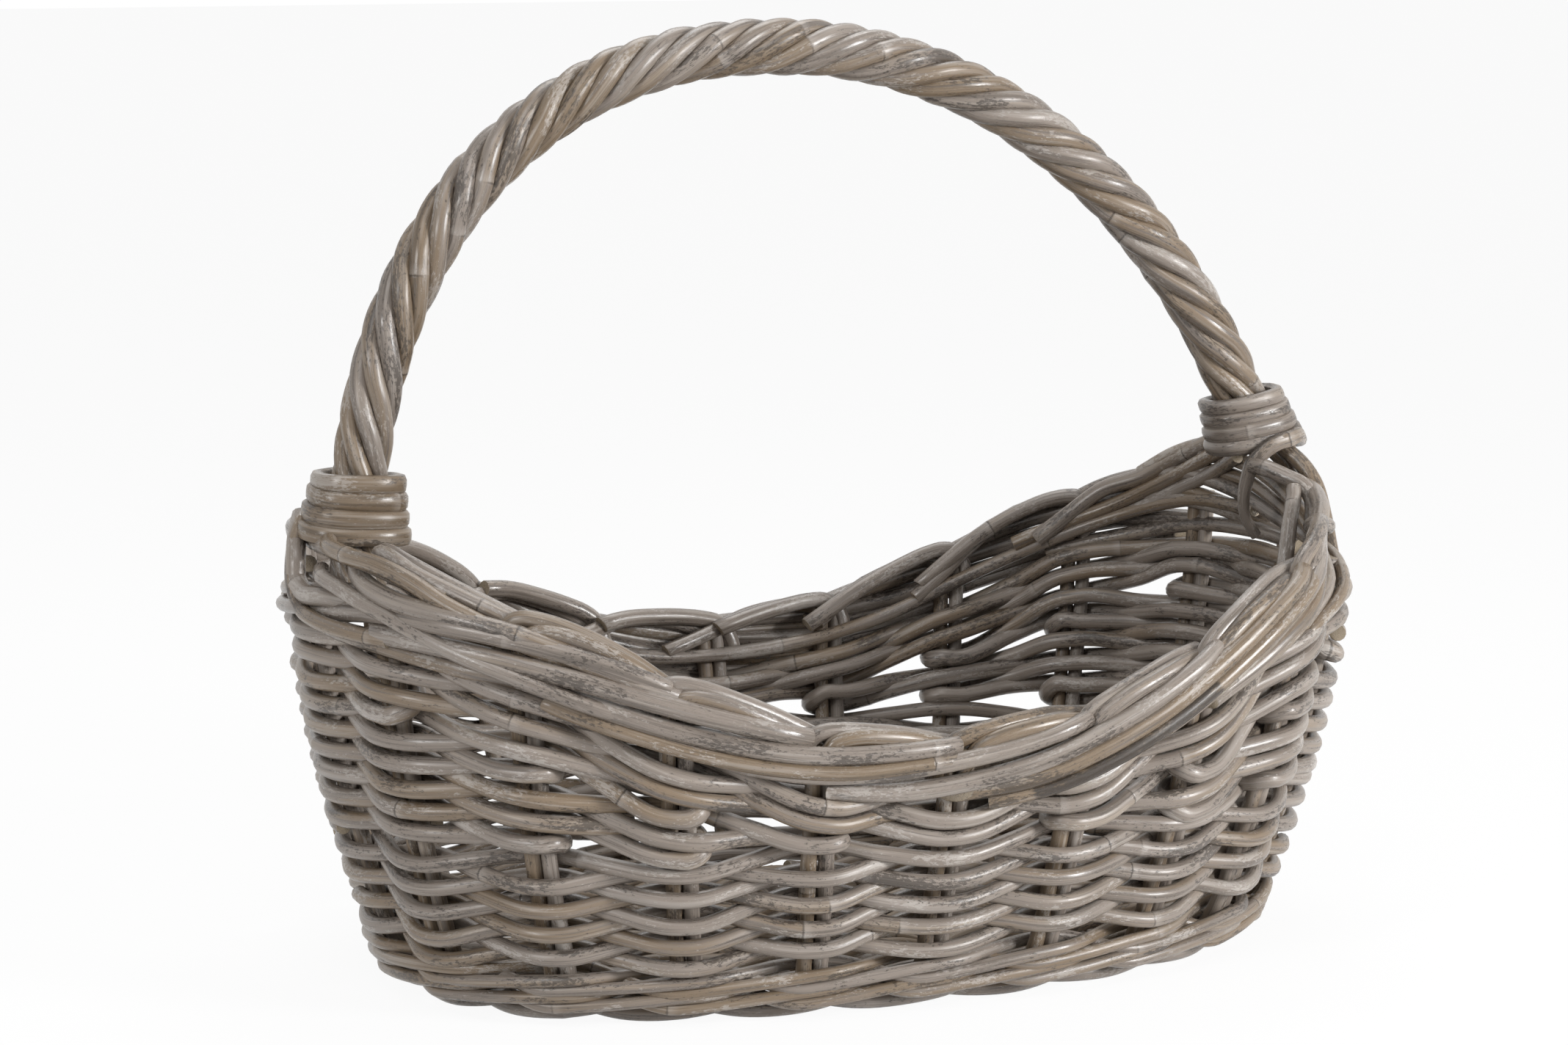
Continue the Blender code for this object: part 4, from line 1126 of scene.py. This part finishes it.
    def upright_rods(self, side_name):
        """The ends of the top rods, which bend up beside the legs under the lashings."""
        diameter = bpy.context.scene.rod_sizes.border
        sign = 1 if side_name == "back" else -1
        rods = []
        legs = ((LEFT_LEG, LEFT_STAKE, 360, -sign, LEFT_PULLED_SHARE), (RIGHT_LEG, 0, 362, sign, -0.8))
        for leg, k, number, way, share in legs:
            line = [border_point(k + way * away, share, depth * diameter, diameter)
                    for away, depth in self.UPRIGHT_ROUTE]
            side = sign * UPRIGHT_SIDE
            corner = Vector((line[-1].x, side, line[-1].z))
            start = leg.place(0, leg.outer[0] - UPRIGHT_INSET, side)
            line += bend(line[-1], corner, start, 5)[1:]
            top = leg.pitch * leg.turns - UPRIGHT_SHORT
            line.append(leg.place(top, leg.outer[1] - UPRIGHT_INSET, side))
            rods.append(Rod(line, diameter, number + (sign > 0), 0.45, 0.3))
        if side_name == "front":
            rods += self.end_rods()
        lay_rods(f"{side_name}_upright_rods", rods, "rim_rattan", [f"{side_name}_top_rod"])


# Foot: a scalloped border under two rounds of wale


class LayFoot(bpy.types.Operator):
    """Lay the wale over the foot and the scalloped foot border"""

    bl_idname = "basket.lay_foot"
    bl_label = "Lay Foot"

    WALE_RODS = 3
    WALE_THINNING = 0.8
    WALE_STRAY = 0.0003
    WALE_RISE = 0.0004
    WALE_LEVELS = (-0.36, 0.36, 0.0)  # at the three stakes of a stroke, in diameters
    UPPER_HEIGHT, LOWER_HEIGHT = 0.0236, 0.0156
    # One scallop: stakes from its own, outwards and height, both in diameters
    SCALLOP = ((-0.25, -0.9, 1.15), (0.1, -0.3, 0.75), (0.45, 0.35, 0.5), (0.9, 0.6, 0.5),
               (1.3, 0.2, 0.85), (1.6, -0.5, 1.3))

    def execute(self, context):
        self.wale("upper", self.UPPER_HEIGHT, 400)
        self.wale("lower", self.LOWER_HEIGHT, 410)
        self.foot()
        return {"FINISHED"}

    def wale(self, name, height, number):
        """Three rods, each outside two stakes and inside the third, rising along its stroke."""
        diameter = bpy.context.scene.rod_sizes.wale
        rods = []
        for turn in range(self.WALE_RODS):
            dice = Random(number + turn)
            line = []
            for k in range(turn, turn + STAKE_PAIRS + 1):
                place = (k - turn) % self.WALE_RODS
                side = -1 if place == 2 else 1
                level = height + self.WALE_LEVELS[place] * diameter + dice.gauss(0, self.WALE_STRAY)
                reach = side * ((STAKE_PITCH + diameter) / 2 + SEATING)
                for share in (-1, 1):
                    rise, sideways = share * self.WALE_RISE, share * PASS_FLAT
                    line.append(wall_point(stake_angle(k), level + rise, reach, sideways))
            rods.append(Rod(line, diameter * self.WALE_THINNING, number + turn, 0.45, 0.3))
        lay_rods(f"{name}_wale", rods, "weaver_rattan", [f"{name}_upsett_rod"])

    def foot(self):
        """Short rods that come out from inside, lie on the floor and go in again."""
        diameter = bpy.context.scene.rod_sizes.foot
        a, b = half_axes(diameter / 2, FOOT_INSET + diameter / 2)
        rods = []
        for k in range(STAKE_PAIRS):
            dice = Random(430 + k)
            line = []
            for phase, share, level in self.SCALLOP:
                x, y = plan(stake_angle(k + phase), a, b)
                out = Vector((x, y, 0)).normalized() * share * diameter
                line.append(Vector((x, y, level * diameter)) + out)
            rods.append(Rod(line, diameter * dice.uniform(0.93, 0.99), 430 + k, 0.4, 0.3))
        lay_rods("foot_border", rods, "weaver_rattan", ["foot_rod"])


# Base: rods go back and forth over and under the stakes


class WeaveBase(bpy.types.Operator):
    """Weave the base between the runs of the long stakes"""

    bl_idname = "basket.weave_base"
    bl_label = "Weave Base"

    MARGIN = 0.0020
    OUTER_MARGIN = 0.0088
    WALL_MARGINS = (0.0050, 0.0085)

    def execute(self, context):
        diameter = bpy.context.scene.rod_sizes.base
        pair = 2 * OUT_OF_LINE
        margin = diameter / 2 + self.MARGIN
        outer_pair = wall_point(stake_angle(1), LONG_HEIGHT).y
        widest = wall_point(stake_angle(LEFT_STAKE // 2 - 2), CROSS_HEIGHT).y
        zones = (
            ("inner", pair + margin, outer_pair - pair - margin),
            ("outer", outer_pair + pair + margin, widest - FRAME_BEND - margin - self.OUTER_MARGIN),
        )
        for number, (name, low, high) in enumerate(zones):
            line = self.zone(low, high)
            for side_name, sign in (("back", 1), ("front", -1)):
                turned = [Vector((p.x, sign * p.y, p.z)) for p in line]
                rod = Rod(turned, diameter, 450 + 2 * number + (sign > 0), 0.6, 0.25)
                nodes = [f"{name}_base_weaver_{side_name}"]
                lay_rods(f"base_{name}_{side_name}", [rod], "base_rattan", nodes, 8)
        return {"FINISHED"}

    def allowed(self, y):
        """Cross stakes that run in the base at a distance from the middle line."""
        room = y + FRAME_BEND + self.WALL_MARGINS[0] + self.WALL_MARGINS[1]
        stakes = range(2, LEFT_STAKE - 1)
        return [k for k in stakes if wall_point(stake_angle(k), CROSS_HEIGHT).y > room]

    def zone(self, low, high):
        """A rod that fills the base between two distances from the middle line."""
        reach = (STAKE_PITCH + bpy.context.scene.rod_sizes.base) / 2
        count = floor((high - low) / BASE_WEAVER_PITCH) + 1
        line = []
        at, over = self.allowed(low + BASE_WEAVER_PITCH)[0], 1
        for number in range(count):
            y = low + number * BASE_WEAVER_PITCH
            last = number == count - 1
            stakes = self.allowed(y if last else y + BASE_WEAVER_PITCH)
            heading = 1 if number % 2 == 0 else -1
            goal = stakes[-1] if heading > 0 else stakes[0]
            while True:
                x = wall_point(stake_angle(at), CROSS_HEIGHT).x
                for share in (1, -1):
                    line.append(Vector((x + share * heading * PASS_FLAT, y, CROSS_HEIGHT + over * reach)))
                if at == goal:
                    break
                at += heading
                over = -over
            if not last:
                for lap_share, height_share, way_share in TURN_SHARES:
                    lap = -heading * TURN_LAP * lap_share
                    rise = over * TURN_LAP * height_share
                    line.append(Vector((x + lap, y + BASE_WEAVER_PITCH * way_share, CROSS_HEIGHT + rise)))
                over = -over
        return line


# Stage: floor, camera and lamps


class SetStage(bpy.types.Operator):
    """Set the white floor, the camera and the soft lamps"""

    bl_idname = "basket.set_stage"
    bl_label = "Set Stage"

    FLOOR_HALF = 14.0
    FLOOR_GLOW = 0.93
    ROOM_GLOW = 0.31
    # Place, target and side of each lamp; its power is a property
    LAMPS = {
        "key": ((-0.55, -0.75, 1.60), (0.0, 0.0, 0.15), 0.7),
        "left": ((-1.6, -0.9, 0.85), (0.0, 0.0, 0.2), 0.35),
        "over": ((0.25, 0.55, 1.5), (0.0, 0.1, 0.15), 0.8),
        "right": ((1.3, -1.5, 0.7), (0.05, 0.0, 0.08), 0.5),
    }

    def execute(self, context):
        context.scene.view_settings.view_transform = "Standard"
        self.floor()
        self.world(context.scene)
        self.camera(context.scene)
        for name, lamp in self.LAMPS.items():
            self.lamp(f"{name}_lamp", *lamp, getattr(context.scene.stage_sizes, name))
        return {"FINISHED"}

    def floor(self):
        bpy.ops.object.select_all(action="DESELECT")
        bpy.ops.mesh.primitive_plane_add(size=2 * self.FLOOR_HALF)
        floor = bpy.context.object
        floor.name = "floor"
        finish = Finish(bpy.data.materials.new("floor_white"))
        seen = self.seen_directly(finish)
        diffuse = finish.node("ShaderNodeBsdfDiffuse", {}, (0.92, 0.92, 0.92))[0]
        glow = finish.node("ShaderNodeEmission", {}, (1.0, 1.0, 1.0), 1.0)[0]
        white = finish.node("ShaderNodeMixShader", {}, self.FLOOR_GLOW, diffuse, glow)[0]
        shader = finish.node("ShaderNodeMixShader", {}, seen, diffuse, white)[0]
        finish.node("ShaderNodeOutputMaterial", {}, shader)
        floor.data.materials.append(finish.owner)

    def seen_directly(self, finish):
        """1 for what the camera sees, straight or by a reflection."""
        rays = finish.node("ShaderNodeLightPath")
        by_name = {ray.socket.name: ray for ray in rays}
        straight = by_name["Is Camera Ray"].math("MAXIMUM", by_name["Is Glossy Ray"])
        return straight.math("MAXIMUM", by_name["Is Transmission Ray"])

    def world(self, scene):
        scene.world = bpy.data.worlds.new("white_room")
        finish = Finish(scene.world)
        room = finish.node("ShaderNodeBackground", {}, (1.0, 1.0, 1.0), self.ROOM_GLOW)[0]
        seen = finish.node("ShaderNodeBackground", {}, (1.0, 1.0, 1.0), 1.0)[0]
        shader = finish.node("ShaderNodeMixShader", {}, self.seen_directly(finish), room, seen)[0]
        finish.node("ShaderNodeOutputWorld", {}, shader)

    def camera(self, scene):
        stage = scene.stage_sizes
        data = bpy.data.cameras.new("camera")
        data.lens, data.sensor_width = stage.lens, 36.0
        camera = bpy.data.objects.new("camera", data)
        scene.collection.objects.link(camera)
        camera.location = (stage.distance * sin(stage.turn), -stage.distance * cos(stage.turn), stage.height)
        camera.rotation_euler = (pi / 2 - stage.tilt, 0, stage.turn + stage.pan)
        scene.camera = camera

    def lamp(self, name, place, target, size, power):
        data = bpy.data.lights.new(name, "AREA")
        data.shape = "SQUARE"
        data.size, data.energy = size, power
        lamp = bpy.data.objects.new(name, data)
        bpy.context.scene.collection.objects.link(lamp)
        lamp.location = place
        lamp.rotation_euler = (Vector(target) - Vector(place)).to_track_quat("-Z", "Y").to_euler()


class BasketPanel(bpy.types.Panel):
    """The steps of the basket, in the order of making"""

    bl_idname = "VIEW3D_PT_basket"
    bl_label = "Rattan Basket"
    bl_space_type = "VIEW_3D"
    bl_region_type = "UI"
    bl_category = "Basket"

    def draw(self, context):
        for step in STEPS:
            self.layout.operator(step.bl_idname)
        for group in ("rod_sizes", "rattan_colours", "stage_sizes"):
            sizes = getattr(context.scene, group)
            for name in sizes.__annotations__:
                self.layout.prop(sizes, name)


STEPS = (LayStakes, WeaveWall, LayRim, LayFoot, WeaveBase, TwistHandle, WindLashings, SetStage)
GROUPS = {"rod_sizes": RodSizes, "rattan_colours": RattanColours, "stage_sizes": StageSizes}


def register():
    for group in (*GROUPS.values(), *STEPS, BasketPanel):
        bpy.utils.register_class(group)
    for name, group in GROUPS.items():
        setattr(bpy.types.Scene, name, PointerProperty(type=group))


def unregister():
    for name in GROUPS:
        delattr(bpy.types.Scene, name)
    for group in (BasketPanel, *reversed(STEPS), *GROUPS.values()):
        bpy.utils.unregister_class(group)


def main():
    register()
    for step in STEPS:
        family, name = step.bl_idname.split(".")
        getattr(getattr(bpy.ops, family), name)()


if __name__ == "__main__":
    main()
